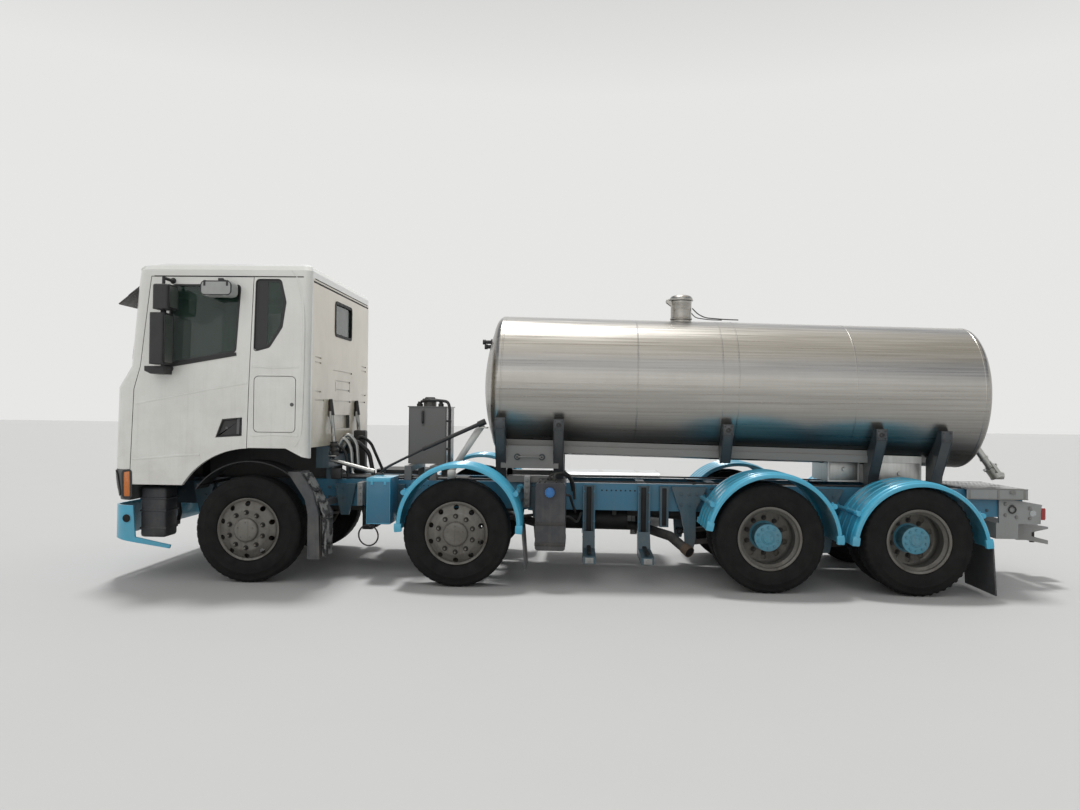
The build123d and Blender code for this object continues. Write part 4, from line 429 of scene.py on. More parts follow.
def addBox(mesh, low, high, bevel=0.0, segments=2):
    centre = [(a + b) / 2 for a, b in zip(low, high)]
    size = [abs(b - a) for a, b in zip(low, high)]
    made = bmesh.ops.create_cube(mesh, size=1.0, matrix=Matrix.Translation(centre) @ Matrix.Diagonal((*size, 1)))
    if bevel:
        edges = {edge for vert in made["verts"] for edge in vert.link_edges}
        bmesh.ops.bevel(mesh, geom=list(edges), offset=bevel, segments=segments, affect="EDGES", profile=0.5)


def addPlates(mesh, rows, flip=1):
    # columns: x from axle 1, y and z of one corner, the same of the other corner, bevel
    for x0, y0, z0, x1, y1, z1, bevel in rows:
        addBox(mesh, fromAxle(x0, flip * y0, z0), fromAxle(x1, flip * y1, z1), bevel)


def ringFrame(direction):
    return Vector(direction).to_track_quat("Z", "Y").to_matrix()


def addRings(mesh, rings, loop=False):
    # joins rings of points, each a list of equal length, into a skin
    made = [[mesh.verts.new(point) for point in ring] for ring in rings]
    count = len(made[0])
    for first, second in list(zip(made, made[1:])) + ([(made[-1], made[0])] if loop else []):
        for n in range(count):
            m = (n + 1) % count
            mesh.faces.new((first[n], first[m], second[m], second[n]))
    if not loop:
        mesh.faces.new(list(reversed(made[0])))
        mesh.faces.new(made[-1])


def addRod(mesh, start, end, radius, endRadius=None, segments=16):
    start, end = Vector(start), Vector(end)
    turn = ringFrame(end - start)
    rings = []
    for place, r in ((start, radius), (end, endRadius or radius)):
        rings.append([place + turn @ Vector((r * cos(a), r * sin(a), 0)) for a in circleAngles(segments)])
    addRings(mesh, rings)


def addStub(mesh, foot, reach, radius, endRadius=None, segments=16):
    addRod(mesh, foot, Vector(foot) + Vector(reach), radius, endRadius, segments)


def addLathe(mesh, profile, centre, axis, segments=48):
    # profile is (distance along axis, radius), closed round on itself
    turn = ringFrame(axis)
    rings = []
    for a in circleAngles(segments):
        rings.append([Vector(centre) + turn @ Vector((r * cos(a), r * sin(a), along)) for along, r in profile])
    addRings(mesh, rings, loop=True)


def smoothRoute(points, bend, steps=5):
    # rounds each inner corner of a route with a short curve
    points = [Vector(p) for p in points]
    route = [points[0]]
    for before, corner, after in zip(points, points[1:], points[2:]):
        toBefore, toAfter = before - corner, after - corner
        reach = min(bend, toBefore.length * 0.45, toAfter.length * 0.45)
        first = corner + toBefore.normalized() * reach
        last = corner + toAfter.normalized() * reach
        for n in range(steps + 1):
            t = n / steps
            route.append(first * (1 - t) ** 2 + corner * 2 * t * (1 - t) + last * t * t)
    return route + [points[-1]]


def addTube(mesh, points, radius, bend=0.03, segments=10):
    route = smoothRoute(points, bend)
    rings = []
    normal = None
    for n, place in enumerate(route):
        ahead = route[min(n + 1, len(route) - 1)] - route[max(n - 1, 0)]
        ahead.normalize()
        if normal is None:
            normal = ahead.orthogonal().normalized()
        normal = (normal - ahead * normal.dot(ahead)).normalized()
        side = ahead.cross(normal)
        rings.append([place + (normal * cos(a) + side * sin(a)) * radius for a in circleAngles(segments)])
    addRings(mesh, rings)


def addHoop(mesh, middle, reach, thick, side=1, segments=28, around=10, lean=0.0):
    # a ring of round bar facing sideways; reach is its radius along each axis, lean its twist
    rings = []
    for a in circleAngles(segments):
        out = Vector((cos(a), lean * sin(a), sin(a))).normalized()
        centre = middle + Vector((reach[0] * cos(a), reach[1] * sin(a), reach[2] * sin(a)))
        across = Vector((0, side * thick[1], 0))
        rings.append([centre + out * (thick[0] * cos(b)) + across * sin(b) for b in circleAngles(around)])
    addRings(mesh, rings, loop=True)


def addPrism(mesh, outline, along, low, high, bevel=0.0):
    # outline is a list of 2D points in the two other axes' order; along is the axis name
    def place(point, depth):
        first, second = point
        return {"x": (depth, first, second), "y": (first, depth, second)}[along]
    start = [mesh.verts.new(place(point, low)) for point in outline]
    end = [mesh.verts.new(place(point, high)) for point in outline]
    faces = [mesh.faces.new(start), mesh.faces.new(list(reversed(end)))]
    count = len(outline)
    for n in range(count):
        m = (n + 1) % count
        faces.append(mesh.faces.new((start[m], start[n], end[n], end[m])))
    if bevel:
        edges = {edge for face in faces for edge in face.edges}
        bmesh.ops.bevel(mesh, geom=list(edges), offset=bevel, segments=2, affect="EDGES", profile=0.5)


def addSideProfile(mesh, points, low, high, bevel=0.0):
    # a plate seen from the side, with points (x from axle 1, z) between two distances from the middle
    addPrism(mesh, [(axle1 + x, z) for x, z in points], "y", low, high, bevel)


def addBolt(mesh, place, direction, radius=0.011, height=0.009, washer=True):
    place, direction = Vector(place), Vector(direction).normalized()
    if washer:
        addRod(mesh, place - direction * 0.001, place + direction * 0.003, radius * 1.45, segments=14)
    addRod(mesh, place, place + direction * (0.003 + height), radius, segments=6)


def addSideBolts(mesh, columns, heights, y, side, radius, height):
    # bolts on an upright face, at each distance from axle 1 and each height
    for x in columns:
        for z in heights:
            addBolt(mesh, fromAxle(x, side * y, z), (0, side, 0), radius, height)


def addRods(mesh, rows, flip=1):
    # columns: start from axle 1, end from axle 1, radius, radius at the end, sides of the rod
    for start, end, radius, endRadius, segments in rows:
        addRod(mesh, *placed((start, end), flip), radius, endRadius, segments)


def addTubes(mesh, rows, bend, flip=1, segments=10):
    # columns: radius, then the points of the route, from axle 1
    for radius, *route in rows:
        addTube(mesh, placed(route, flip), radius, bend, segments)


def addLozenges(mesh, places, side, z, height, radius, endRadius):
    # low six sided studs on a tread plate
    for x, y in places:
        addStub(mesh, fromAxle(x, side * y, z), (0, 0, height), radius, endRadius, 6)


def addCap(mesh, foot, direction, steps, grips=None):
    # columns of its steps: start, end, radius, radius at the end, sides
    # grips round the edge: count, circle, radius, rise of the middle, half length
    direction = Vector(direction)
    turn = ringFrame(direction)
    for low, high, radius, endRadius, segments in steps:
        addRod(mesh, foot + direction * low, foot + direction * high, radius, endRadius, segments)
    if grips:
        count, circle, radius, rise, half = grips
        for a in circleAngles(count):
            middle = foot + direction * rise + turn @ Vector((circle * cos(a), circle * sin(a), 0))
            addRod(mesh, middle - direction * half, middle + direction * half, radius, segments=6)


def finishPiece(mesh, name, body, finish, smooth=34, replaced=()):
    bmesh.ops.recalc_face_normals(mesh, faces=mesh.faces)
    data = bpy.data.meshes.new(name)
    mesh.to_mesh(data)
    mesh.free()
    data.polygons.foreach_set("use_smooth", [True] * len(data.polygons))
    data.set_sharp_from_angle(angle=radians(smooth))
    data.materials.append(finishes[finish])
    piece = bpy.data.objects.new(name, data)
    bpy.context.scene.collection.objects.link(piece)
    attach(piece, body)
    if replaced:
        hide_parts(*replaced)


# Tyres: rounded sidewalls with rings, and a cut tread
tyre = dict(grooveDepth=0.012, grooveHalf=0.006, grooves=(0.066, 0.023), treadSteps=92)
# Columns: outward distance from the tyre's middle, radius
sidewall = ((0.115, 0.288), (0.118, 0.300), (0.127, 0.306), (0.134, 0.318), (0.141, 0.345), (0.1455, 0.372),
            (0.147, 0.395), (0.1462, 0.412), (0.1470, 0.414), (0.1466, 0.420), (0.1455, 0.422), (0.141, 0.447),
            (0.1345, 0.468), (0.1350, 0.471), (0.1315, 0.481), (0.126, 0.489), (0.118, 0.4985), (0.110, 0.5045))


def tyreSection():
    # half the profile from bead to crown, then mirrored
    section = list(sidewall)
    half, depth = tyre["grooveHalf"], tyre["grooveDepth"]
    for centre in tyre["grooves"]:
        top = 0.5070 - (centre / 0.11) ** 2 * 0.0025
        section += [(centre + half, top), (centre + half * 0.55, top - depth), (centre - half * 0.55, top - depth),
                    (centre - half, top)]
    section += [(-y, r) for y, r in reversed(section)]
    return section + [(-0.113, 0.283), (0.113, 0.283)]


def treadCut(n, along, r, block):
    # block tyres have open shoulders, rib tyres have only narrow sipes
    if not block:
        return 0.004 if abs(along) > 0.075 and r > 0.49 and n % 4 == 0 else 0.0
    if 0.03 < abs(along) < 0.06 and r > 0.50 and (n + (2 if along > 0 else 0)) % 4 == 0:
        return 0.007
    if abs(along) > 0.078 and r > 0.462 and n % 4 in (0, 1):
        return 0.011 if r > 0.49 else 0.004
    return 0.0


def addTyre(mesh, x, y, side, block):
    rings = []
    for n, a in enumerate(circleAngles(tyre["treadSteps"] * 2)):
        ring = []
        for along, r in tyreSection():
            r -= treadCut(n, along, r, block)
            ring.append(Vector((x + r * sin(a), side * (y + along), hubZ + r * cos(a))))
        rings.append(ring)
    addRings(mesh, rings, loop=True)


# Rims and hubs. Columns: outward distance from the wheel's middle, radius
rimBarrel = ((-0.127, 0.2985), (-0.115, 0.2985), (-0.112, 0.2885), (-0.060, 0.2865), (-0.040, 0.258), (0.060, 0.258),
             (0.085, 0.2865), (0.112, 0.2885), (0.115, 0.2985), (0.1265, 0.2985), (0.1285, 0.294), (0.127, 0.286),
             (0.120, 0.274), (0.090, 0.2735), (0.064, 0.246), (-0.044, 0.246), (-0.066, 0.2735), (-0.120, 0.274),
             (-0.1285, 0.286))
steerDisc = ((0.096, 0.276), (0.113, 0.2765), (0.124, 0.272), (0.134, 0.264), (0.148, 0.243), (0.163, 0.216),
             (0.171, 0.204), (0.1745, 0.194), (0.1750, 0.186), (0.1750, 0.110), (0.165, 0.110), (0.165, 0.186),
             (0.160, 0.198), (0.142, 0.229), (0.122, 0.257), (0.096, 0.266))
steerCap = ((-0.045, 0.10), (-0.045, 0.0006), (0.2065, 0.0006), (0.2065, 0.088), (0.2045, 0.100), (0.199, 0.110),
            (0.190, 0.1155), (0.176, 0.1165), (0.150, 0.1165), (0.150, 0.10))
steerDrum = ((-0.085, 0.205), (0.060, 0.205), (0.060, 0.02), (0.045, 0.02), (0.045, 0.190), (-0.085, 0.190))
driveDisc = ((-0.095, 0.2765), (-0.120, 0.2775), (-0.137, 0.2705), (-0.157, 0.250), (-0.1605, 0.235),
             (-0.161, 0.112), (-0.1725, 0.112), (-0.1725, 0.246), (-0.152, 0.271), (-0.141, 0.2815), (-0.095, 0.284))
driveHub = ((-0.370, 0.100), (-0.370, 0.062), (-0.060, 0.062), (-0.060, 0.0006), (0.058, 0.0006), (0.058, 0.047),
            (0.052, 0.053), (0.0525, 0.060), (0.048, 0.064), (0.047, 0.118), (0.043, 0.1275), (0.020, 0.128),
            (0.014, 0.118), (-0.155, 0.118), (-0.155, 0.1395), (-0.205, 0.1395), (-0.205, 0.100))
driveDrum = ((-0.465, 0.205), (-0.220, 0.205), (-0.205, 0.190), (-0.205, 0.095), (-0.220, 0.095), (-0.225, 0.190),
             (-0.465, 0.190))
wheelNuts = dict(count=10, circle=0.1675, radius=0.0165, height=0.030)


def onWheel(x, side, out, radius, a):
    return Vector((x + radius * cos(a), side * (wheelY + out), hubZ + radius * sin(a)))


def addTurned(mesh, x, side, profile, segments, y=wheelY, facing=1):
    # turns a profile about the axle; facing is -1 for the inner wheel of a pair
    addLathe(mesh, [(side * (y + facing * out), r) for out, r in profile], (x, 0, hubZ), (0, 1, 0), segments)


def discWithHoles(x, side, profile, holeCircle, holeRadius):
    # a disc turned about the axle, with round hand holes cut by a boolean
    meshes = [bmesh.new(), bmesh.new()]
    addTurned(meshes[0], x, side, profile, 120)
    for n in range(10):
        a = radians(18 + 36 * n)
        inner, outer = (onWheel(x, side, out, holeCircle, a) for out in (-0.30, 0.30))
        addRod(meshes[1], inner, outer, holeRadius, segments=20)
    objects = []
    for label, mesh in zip(("disc", "cutters"), meshes):
        bmesh.ops.recalc_face_normals(mesh, faces=mesh.faces)
        data = bpy.data.meshes.new(label)
        mesh.to_mesh(data)
        mesh.free()
        objects.append(bpy.data.objects.new(label, data))
        bpy.context.scene.collection.objects.link(objects[-1])
    cut = objects[0].modifiers.new("holes", "BOOLEAN")
    cut.object = objects[1]
    cut.solver = "EXACT"
    bpy.context.view_layer.update()
    result = bmesh.new()
    result.from_mesh(objects[0].evaluated_get(bpy.context.evaluated_depsgraph_get()).to_mesh())
    for thing in objects:
        bpy.data.objects.remove(thing)
    return result


def nutPlaces(x, side, base):
    return [onWheel(x, side, base, wheelNuts["circle"], a + pi / 2) for a in circleAngles(wheelNuts["count"])]


def addNuts(mesh, x, side, base):
    # hexagon nuts, each on a round washer
    for place in nutPlaces(x, side, base):
        addStub(mesh, place, (0, side * wheelNuts["height"], 0), wheelNuts["radius"], segments=6)
        addStub(mesh, place, (0, side * 0.006, 0), wheelNuts["radius"] * 1.45, segments=20)


def addStuds(mesh, x, side, base):
    # stud ends that stand out of the nuts
    for place in nutPlaces(x, side, base):
        foot, reach = place + Vector((0, side * 0.010, 0)), side * (wheelNuts["height"] + 0.001)
        addStub(mesh, foot, (0, reach, 0), 0.0095, segments=14)


# Steering wheels: a disc nearly flush with the tyre, and a hub cap
steerBase, driveBase = 0.175, -0.161  # where the nuts sit, out from the wheel's middle
for number, x in ((1, axle1), (2, axle2)):
    for side, word in sides:
        body, title = f"wheel_{number}_{word}", f"{number}{word.title()}"
        mesh = bmesh.new()
        addTyre(mesh, x, wheelY, side, False)
        finishPiece(mesh, "tyre" + title, body, "tyreRubber", replaced=(f"tyre_{number}_{word}",))
        mesh = discWithHoles(x, side, steerDisc, 0.2475, 0.025)
        addTurned(mesh, x, side, rimBarrel, 72)
        finishPiece(mesh, "rim" + title, body, "rimSilver", replaced=(f"rim_{number}_{word}",))
        mesh = bmesh.new()
        addTurned(mesh, x, side, steerCap, 56)
        for a in circleAngles(5):
            addBolt(mesh, onWheel(x, side, 0.2055, 0.075, a + 0.3), (0, side, 0), 0.006, 0.004, False)
        addStuds(mesh, x, side, steerBase)
        finishPiece(mesh, "hubCap" + title, body, "rimSilver")
        mesh = bmesh.new()
        addNuts(mesh, x, side, steerBase)
        finishPiece(mesh, "nuts" + title, body, "nutSteel")
        mesh = bmesh.new()
        addTurned(mesh, x, side, steerDrum, 48)
        for a in circleAngles(24):
            for out in (-0.06, -0.03, 0.0):
                addRod(mesh, onWheel(x, side, out, 0.196, a), onWheel(x, side, out, 0.2045, a), 0.006, segments=6)
        finishPiece(mesh, "drum" + title, body, "rustyIron")

# Twin wheels: deep dished outer disc, blue hub with its ring of flange bolts
for number, x in ((3, axle3), (4, axle4)):
    for side, word in sides:
        body, title = f"wheel_{number}_{word}", f"{number}{word.title()}"
        inner = wheelY - twinSpacing
        mesh = bmesh.new()
        addTyre(mesh, x, wheelY, side, number == 4)
        addTyre(mesh, x, inner, side, number == 4)
        finishPiece(mesh, "tyres" + title, body, "tyreRubber", replaced=(f"tyres_{number}_{word}",))
        mesh = discWithHoles(x, side, driveDisc, 0.205, 0.026)
        addTurned(mesh, x, side, rimBarrel, 72)
        addTurned(mesh, x, side, rimBarrel, 72, inner, -1)
        addTurned(mesh, x, side, driveDisc, 72, inner, -1)
        finishPiece(mesh, "rims" + title, body, "rimSilver", replaced=(f"rims_{number}_{word}",))
        mesh = bmesh.new()
        addTurned(mesh, x, side, driveHub, 56)
        for a in circleAngles(10):
            addBolt(mesh, onWheel(x, side, 0.047, 0.096, a + pi / 10), (0, side, 0), 0.0085, 0.010)
        for a in circleAngles(5):
            addStub(mesh, onWheel(x, side, 0.0575, 0.030, a), (0, side * 0.004, 0), 0.006, segments=10)
        finishPiece(mesh, "hub" + title, body, "hubBlue")
        mesh = bmesh.new()
        addNuts(mesh, x, side, driveBase)
        addStuds(mesh, x, side, driveBase)
        addTurned(mesh, x, side, driveDrum, 48)
        finishPiece(mesh, "drum" + title, body, "chassisBlack")
print("wheels built")

# Fenders: a ribbed sheet with a deep rolled outer edge, capped and bolted at each end
# Columns: centre x from axle 1, centre z, radius, start angle, end angle, inner y
fenderRows = ((-2.010, 0.574, 0.600, -6, 186, 0.800), (-4.954, 0.493, 0.634, 8, 182, 0.580),
              (-6.304, 0.430, 0.636, 3, 177, 0.580))
fender = dict(outer=1.250, lip=0.050, sheet=0.004, shoulder=0.022, ribRise=0.008, ribHalf=0.016, ribs=4,
              stayRadius=0.021, stays=(30, 150), clamps=(0.86, 1.12))


def fenderSection(inner, radius):
    # up the rolled outer edge, over the ribbed sheet, down the inner edge, and back underneath
    outer, sheet, bend, half = fender["outer"], fender["sheet"], fender["shoulder"], fender["ribHalf"]
    top, foot = radius - fender["ribRise"], radius - fender["lip"]
    section = [(outer - 0.009, foot), (outer - 0.002, foot), (outer, foot + 0.004), (outer, foot + 0.009),
               (outer - 0.004, foot + 0.013)]
    for n in range(6):
        a = radians(90 * n / 5)
        section.append((outer - 0.004 - bend * (1 - cos(a)), top - bend * (1 - sin(a))))
    pitch = (outer - inner - 2 * bend) / fender["ribs"]
    for n in range(fender["ribs"]):
        middle = outer - bend - pitch * (n + 0.5)
        for step in (1.0, 0.72, 0.36, 0.0, -0.36, -0.72, -1.0):
            section.append((middle + half * step, top + fender["ribRise"] * cos(step * pi / 2) ** 0.8))
    for n in range(6):
        a = radians(90 - 90 * n / 5)
        section.append((inner + bend * (1 - cos(a)), top - bend * (1 - sin(a))))
    section += [(inner, foot), (inner + sheet, foot), (inner + sheet, top - bend), (inner + bend, top - sheet)]
    section += [(outer - 0.004 - bend, top - sheet), (outer - 0.004 - sheet, top - bend)]
    return section + [(outer - 0.009, foot + 0.012)]


mesh = bmesh.new()
caps = bmesh.new()
for side, word in sides:
    for centreX, centreZ, radius, start, end, inner in fenderRows:
        section = fenderSection(inner, radius)
        rings = []
        for n in range(97):
            a = radians(start + (end - start) * n / 96)
            rings.append([fromAxle(centreX + r * cos(a), side * y, centreZ + r * sin(a)) for y, r in section])
        addRings(mesh, rings)
        # a deep cap over each lower end of the outer edge, and a small one on the inner edge
        capRows = ((1.2125, 1.2497, 8, 0.0615, 0.0065, 0.006), (inner + 0.001, inner + 0.018, 5.0, 0.049, 0.0, 0.002))
        for angle, turn in ((start, 1), (end, -1)):
            for low, high, deep, reach, rise, bevel in capRows:
                corners = [(radius + rise, n / 4) for n in range(5)] + [(radius - reach, 1 - n / 4) for n in range(5)]
                outline = []
                for r, step in corners:
                    a = radians(angle + turn * deep * step)
                    outline.append((centreX + r * cos(a), centreZ + r * sin(a)))
                addSideProfile(caps, outline, side * low, side * high, bevel)
        for angle in fender["stays"]:
            reach, a = radius + 0.016, radians(angle)
            place = fromAxle(centreX + reach * cos(a), 0, centreZ + reach * sin(a))
            low, high = place + Vector((0, side * railY, 0)), place + Vector((0, side * 1.190, 0))
            addRod(mesh, low, high, fender["stayRadius"], segments=20)
            addStub(mesh, high - Vector((0, side * 0.004, 0)), (0, side * 0.010, 0), 0.026, segments=20)
            addStub(mesh, low, (0, side * 0.018, 0), 0.040, segments=20)
            for y in fender["clamps"]:
                # clamp round the stay, with its bolt
                middle = place + Vector((0, side * y, 0))
                addStub(caps, middle - Vector((0, 0.018, 0)), (0, 0.036, 0), 0.0245, segments=18)
                addBolt(caps, middle + Vector((0, 0, 0.024)), (0, 0, 1), 0.008, 0.008)
finishPiece(mesh, "fenderSheets", "chassis", "fenderBlue", replaced=("fenders",))
finishPiece(caps, "fenderStraps", "chassis", "fenderBlue")
print("fenders built")

# Tank: rolled sheets with weld beads, a lap seam along each side, and dished heads
tank = dict(front=(axle1 - 2.330, 0, 1.952), tilt=radians(1.0), radius=0.735, length=4.780, head=0.200, segments=160,
            lap=0.0022, bead=0.0022, seamAngle=radians(83.5), welds=(1.383, 2.224, 2.381, 3.530))


def headProfile(reach, sign, full):
    # from the pole to the knuckle: shallow crown, then a tighter turn into the barrel
    crown, knuckle, first = 0.590, 0.100, radians(20)
    points = []
    for n in range(13):
        r = crown * n / 12
        points.append((sign * (tank["head"] - knuckle * (r / crown) ** 2) + reach, max(r, 0.002)))
    for n in range(1, 11):
        a = radians(20 + 70 * n / 10)
        along = knuckle * (cos(a)) / cos(first)
        points.append((sign * along + reach, crown + 0.145 * (sin(a) - sin(first)) / (1 - sin(first))))
    return [(along, min(r, full)) for along, r in points]


def tankProfile():
    full, length, bead = tank["radius"] - 0.0035, tank["length"], tank["bead"]
    profile = headProfile(0, -1, full)
    profile += [(0.012, full), (0.014, full + 0.002), (0.026, full + 0.002), (0.028, full)]
    for place in tank["welds"]:
        weld = ((-0.007, 0), (-0.003, bead), (0.003, bead), (0.007, 0))
        profile += [(place + out, full + rise) for out, rise in weld]
    profile += [(length - out, full + rise) for out, rise in ((0.014, 0), (0.010, bead), (0.004, bead), (0.001, 0))]
    # extra rings keep long sheets even
    dense = []
    for (a, r), (b, s) in zip(profile, profile[1:]):
        steps = max(1, int((b - a) / 0.12))
        dense += [(a + (b - a) * n / steps, r + (s - r) * n / steps) for n in range(steps)]
    return dense + [profile[-1]] + list(reversed(headProfile(length, 1, full)))


def wavy(along, angle):
    # soft unevenness of thin rolled sheet, deepest round the manhole
    near = max(0.0, 1 - abs(along - 1.9) / 0.75) * max(0.0, cos(angle * 0.9)) ** 2
    ripple = sin(along * 3.1 + 2.2 * sin(angle * 2.0)) * 0.0009 + sin(along * 7.9 + angle * 5.0) * 0.0004
    return ripple - near * (0.0014 + 0.0010 * sin(along * 23 + angle * 9))


tilt = tank["tilt"]
back, up = Vector((-cos(tilt), 0, -sin(tilt))), Vector((-sin(tilt), 0, cos(tilt)))
mesh = bmesh.new()
rings = []
for along, r in tankProfile():
    ring = []
    for a in circleAngles(tank["segments"]):
        turn = a if a <= pi else a - 2 * pi
        reach = r - 0.0015
        if r >= tank["radius"] - 0.0040:
            reach += wavy(along, turn) + (tank["lap"] if abs(turn) < tank["seamAngle"] + 0.0001 else 0)
        ring.append(Vector(tank["front"]) + back * along + up * (reach * cos(a)) + Vector((0, reach * sin(a), 0)))
    rings.append(ring)
addRings(mesh, rings)
neck = -4.215  # manhole, from axle 1
neckProfile = ((2.600, 0.108), (2.660, 0.109), (2.672, 0.118), (2.680, 0.118), (2.690, 0.110), (2.835, 0.110),
               (2.842, 0.1115), (2.865, 0.1115), (2.865, 0.090), (2.600, 0.090))
addLathe(mesh, neckProfile, (axle1 + neck, 0, 0), (0, 0, 1), 56)
lug = ((0.090, 2.800), (0.161, 2.852), (0.161, 2.880), (0.137, 2.880), (0.131, 2.870), (0.100, 2.857), (0.090, 2.850))
for side, word in sides:
    addSideProfile(mesh, [(neck + x, z) for x, z in lug], side * 0.022, side * 0.038)
addStub(mesh, fromAxle(neck + 0.145, -0.040, 2.870), (0, 0.080, 0), 0.0058, segments=12)
finishPiece(mesh, "tankShell", "chassis", "tankSteel", smooth=24, replaced=("tank",))

# Manhole hood: a pressed cover with a rolled rim and a low dome
mesh = bmesh.new()
hood = ((2.872, 0.100), (2.872, 0.1275), (2.877, 0.1280), (2.881, 0.1275), (2.883, 0.1235), (2.893, 0.1225),
        (2.904, 0.1180), (2.915, 0.1085), (2.924, 0.0930), (2.930, 0.0720), (2.934, 0.0420), (2.9355, 0.0006),
        (2.925, 0.0006), (2.920, 0.080), (2.905, 0.105), (2.890, 0.110))
addLathe(mesh, hood, (axle1 + neck, 0, 0), (0, 0, 1), 64)
addPlates(mesh, ((neck + 0.100, -0.0145, 2.8745, neck + 0.140, 0.0145, 2.891, 0.003),))
addStub(mesh, fromAxle(neck + 0.145, -0.0145, 2.870), (0, 0.029, 0), 0.0135, segments=24)
finishPiece(mesh, "manholeHood", "manhole_lid", "tankSteel", replaced=("manhole_lid",))

# Vent pipes on the front head, and two cables from the manhole along the top
mesh = bmesh.new()
for z, reach in ((2.402, 0.105), (2.352, 0.085)):
    foot = fromAxle(-2.205, 0.10, z)
    addStub(mesh, foot, (reach, 0, 0), 0.020, segments=20)
    addStub(mesh, foot + Vector((reach - 0.030, 0, 0)), (0.030, 0, 0), 0.027, segments=20)
    addStub(mesh, foot, (0.018, 0, 0), 0.034, segments=20)
# Columns: radius, then places behind the manhole
cables = ((0.006, (0.115, 0.03, 2.790), (0.17, 0.04, 2.730), (0.25, 0.05, 2.688), (0.46, 0.05, 2.672),
           (0.60, 0.05, 2.668)),
          (0.005, (0.105, -0.05, 2.760), (0.16, -0.06, 2.700), (0.30, -0.06, 2.680), (0.44, -0.04, 2.674)))
for radius, *route in cables:
    addTube(mesh, placed([(neck - x, y, z) for x, y, z in route]), radius, bend=0.06)
finishPiece(mesh, "tankFittings", "chassis", "blackPlastic")
print("tank built")

# Tank supports: flanged legs in dark paint, with ring plates, base plates and the bar handle
# Columns: distance from axle 1, short leg, ring plate with an eye
supportLegs = ((-2.347, False, False), (-2.933, False, True), (-4.606, True, True), (-6.095, False, True),
               (-6.720, False, False))
leg = dict(skin=0.0015, half=0.051, barrel=0.7365, rise=tank["tilt"])

mesh = bmesh.new()
bolts = bmesh.new()
for side, word in sides:
    for distance, short, eye in supportLegs:
        middle = 1.952 + (distance + 2.330) * sin(leg["rise"])
        x, top, skin = axle1 + distance, middle - 0.350, leg["skin"]
        low = middle - 0.694 if short else 0.9405
        waist = (0.565, top - 0.390) if short else (0.520, 1.070)
        # skin of the leg, following the barrel on its inner edge
        outline = [(0.640, top + skin), (0.742 + skin, top + skin), (0.742 + skin, top - 0.105),
                   (waist[0] + skin, waist[1]), (0.485 + skin, low), (0.360, low)]
        for y in (0.360, 0.430, 0.500, 0.560, 0.600, 0.630):
            outline.append((y, middle - (leg["barrel"] ** 2 - y ** 2) ** 0.5))
        addPrism(mesh, [(side * y, z) for y, z in outline], "x", x - leg["half"] - skin, x + leg["half"] + skin)
        # ring plate welded on the head of the leg, with its bolts
        addBox(mesh, (x - 0.044, side * 0.7395, top - 0.108), (x + 0.044, side * 0.7475, top - 0.006), 0.003)
        if eye:
            addStub(bolts, (x - 0.017, side * 0.7465, top - 0.056), (0, side * 0.004, 0), 0.011, segments=16)
            addHoop(bolts, Vector((x, side * 0.754, top - 0.056)), (0.020, 0, 0.017), (0.0055, 0.0055), side)
            addBox(bolts, (x - 0.030, side * 0.7465, top - 0.064), (x - 0.016, side * 0.757, top - 0.048), 0.002)
        for dx in (-0.033, 0.033):
            for dz in (-0.020, -0.092):
                addBolt(bolts, (x + dx, side * 0.747, top + dz), (0, side, 0), 0.006, 0.005, False)
        # folded edges of the leg, standing proud on its two sides
        for edge in (-1, 1):
            foldX = x + edge * (leg["half"] - 0.003)
            foldEnds = [(foldX, side * 0.741, top - 0.112), (foldX, side * (waist[0] + 0.001), waist[1])]
            addTube(mesh, foldEnds, 0.0045, segments=8)
        if not short:
            addBox(bolts, (x - 0.060, side * 0.428, 0.930), (x + 0.060, side * 0.4335, 0.938), 0.001)
            addBox(mesh, (x - 0.062, side * 0.30, 0.9405), (x + 0.062, side * 0.50, 0.952), 0.002)
            for dx in (-0.045, 0.045):
                addBolt(bolts, (x + dx, side * 0.470, 0.952), (0, 0, 1), 0.009, 0.008)
for x in (-2.765, -2.515):
    addStub(mesh, fromAxle(x, 0.560, 1.205), (0, 0.006, 0), 0.034, segments=28)
    addStub(bolts, fromAxle(x, 0.560, 1.205), (0, 0.046, 0), 0.0175, segments=20)
    addStub(bolts, fromAxle(x, 0.606, 1.205), (0, 0.008, 0), 0.011, segments=6)
finishPiece(mesh, "supportDetails", "chassis", "legSteel")
finishPiece(bolts, "supportFittings", "chassis", "chassisBlack")
print("supports built")

# Cab. Columns of its form: height, front distance from axle 1, half width
cabRows = ((0.765, 1.340, 1.200), (1.060, 1.378, 1.216), (1.851, 1.364, 1.220), (2.056, 1.236, 1.218),
           (2.850, 1.180, 1.192), (2.985, 1.165, 1.180), (3.030, 1.120, 1.150), (3.055, 1.040, 1.090))
cab = dict(back=-0.565, corner=0.215)


def cabAt(z, column):
    z = min(max(z, cabRows[0][0]), cabRows[-1][0])
    for low, high in zip(cabRows, cabRows[1:]):
        if z <= high[0]:
            return low[column] + (high[column] - low[column]) * (z - low[0]) / (high[0] - low[0])


def onSide(x, z, side, out=0.0):
    return fromAxle(x, side * (cabAt(z, 2) + out), z)


def onFront(y, z, out=0.0):
    # the front panel, with its rounded corners
    corner = cab["corner"]
    over = max(0.0, abs(y) - cabAt(z, 2) + corner)
    drop = corner - (corner ** 2 - min(over, corner * 0.999) ** 2) ** 0.5
    return fromAxle(cabAt(z, 1) - drop + out, y, z)


def onBack(y, z, out=0.0):
    return fromAxle(cab["back"] - out, y, z)


def sidePlace(side):
    return lambda x, z, out: onSide(x, z, side, out)


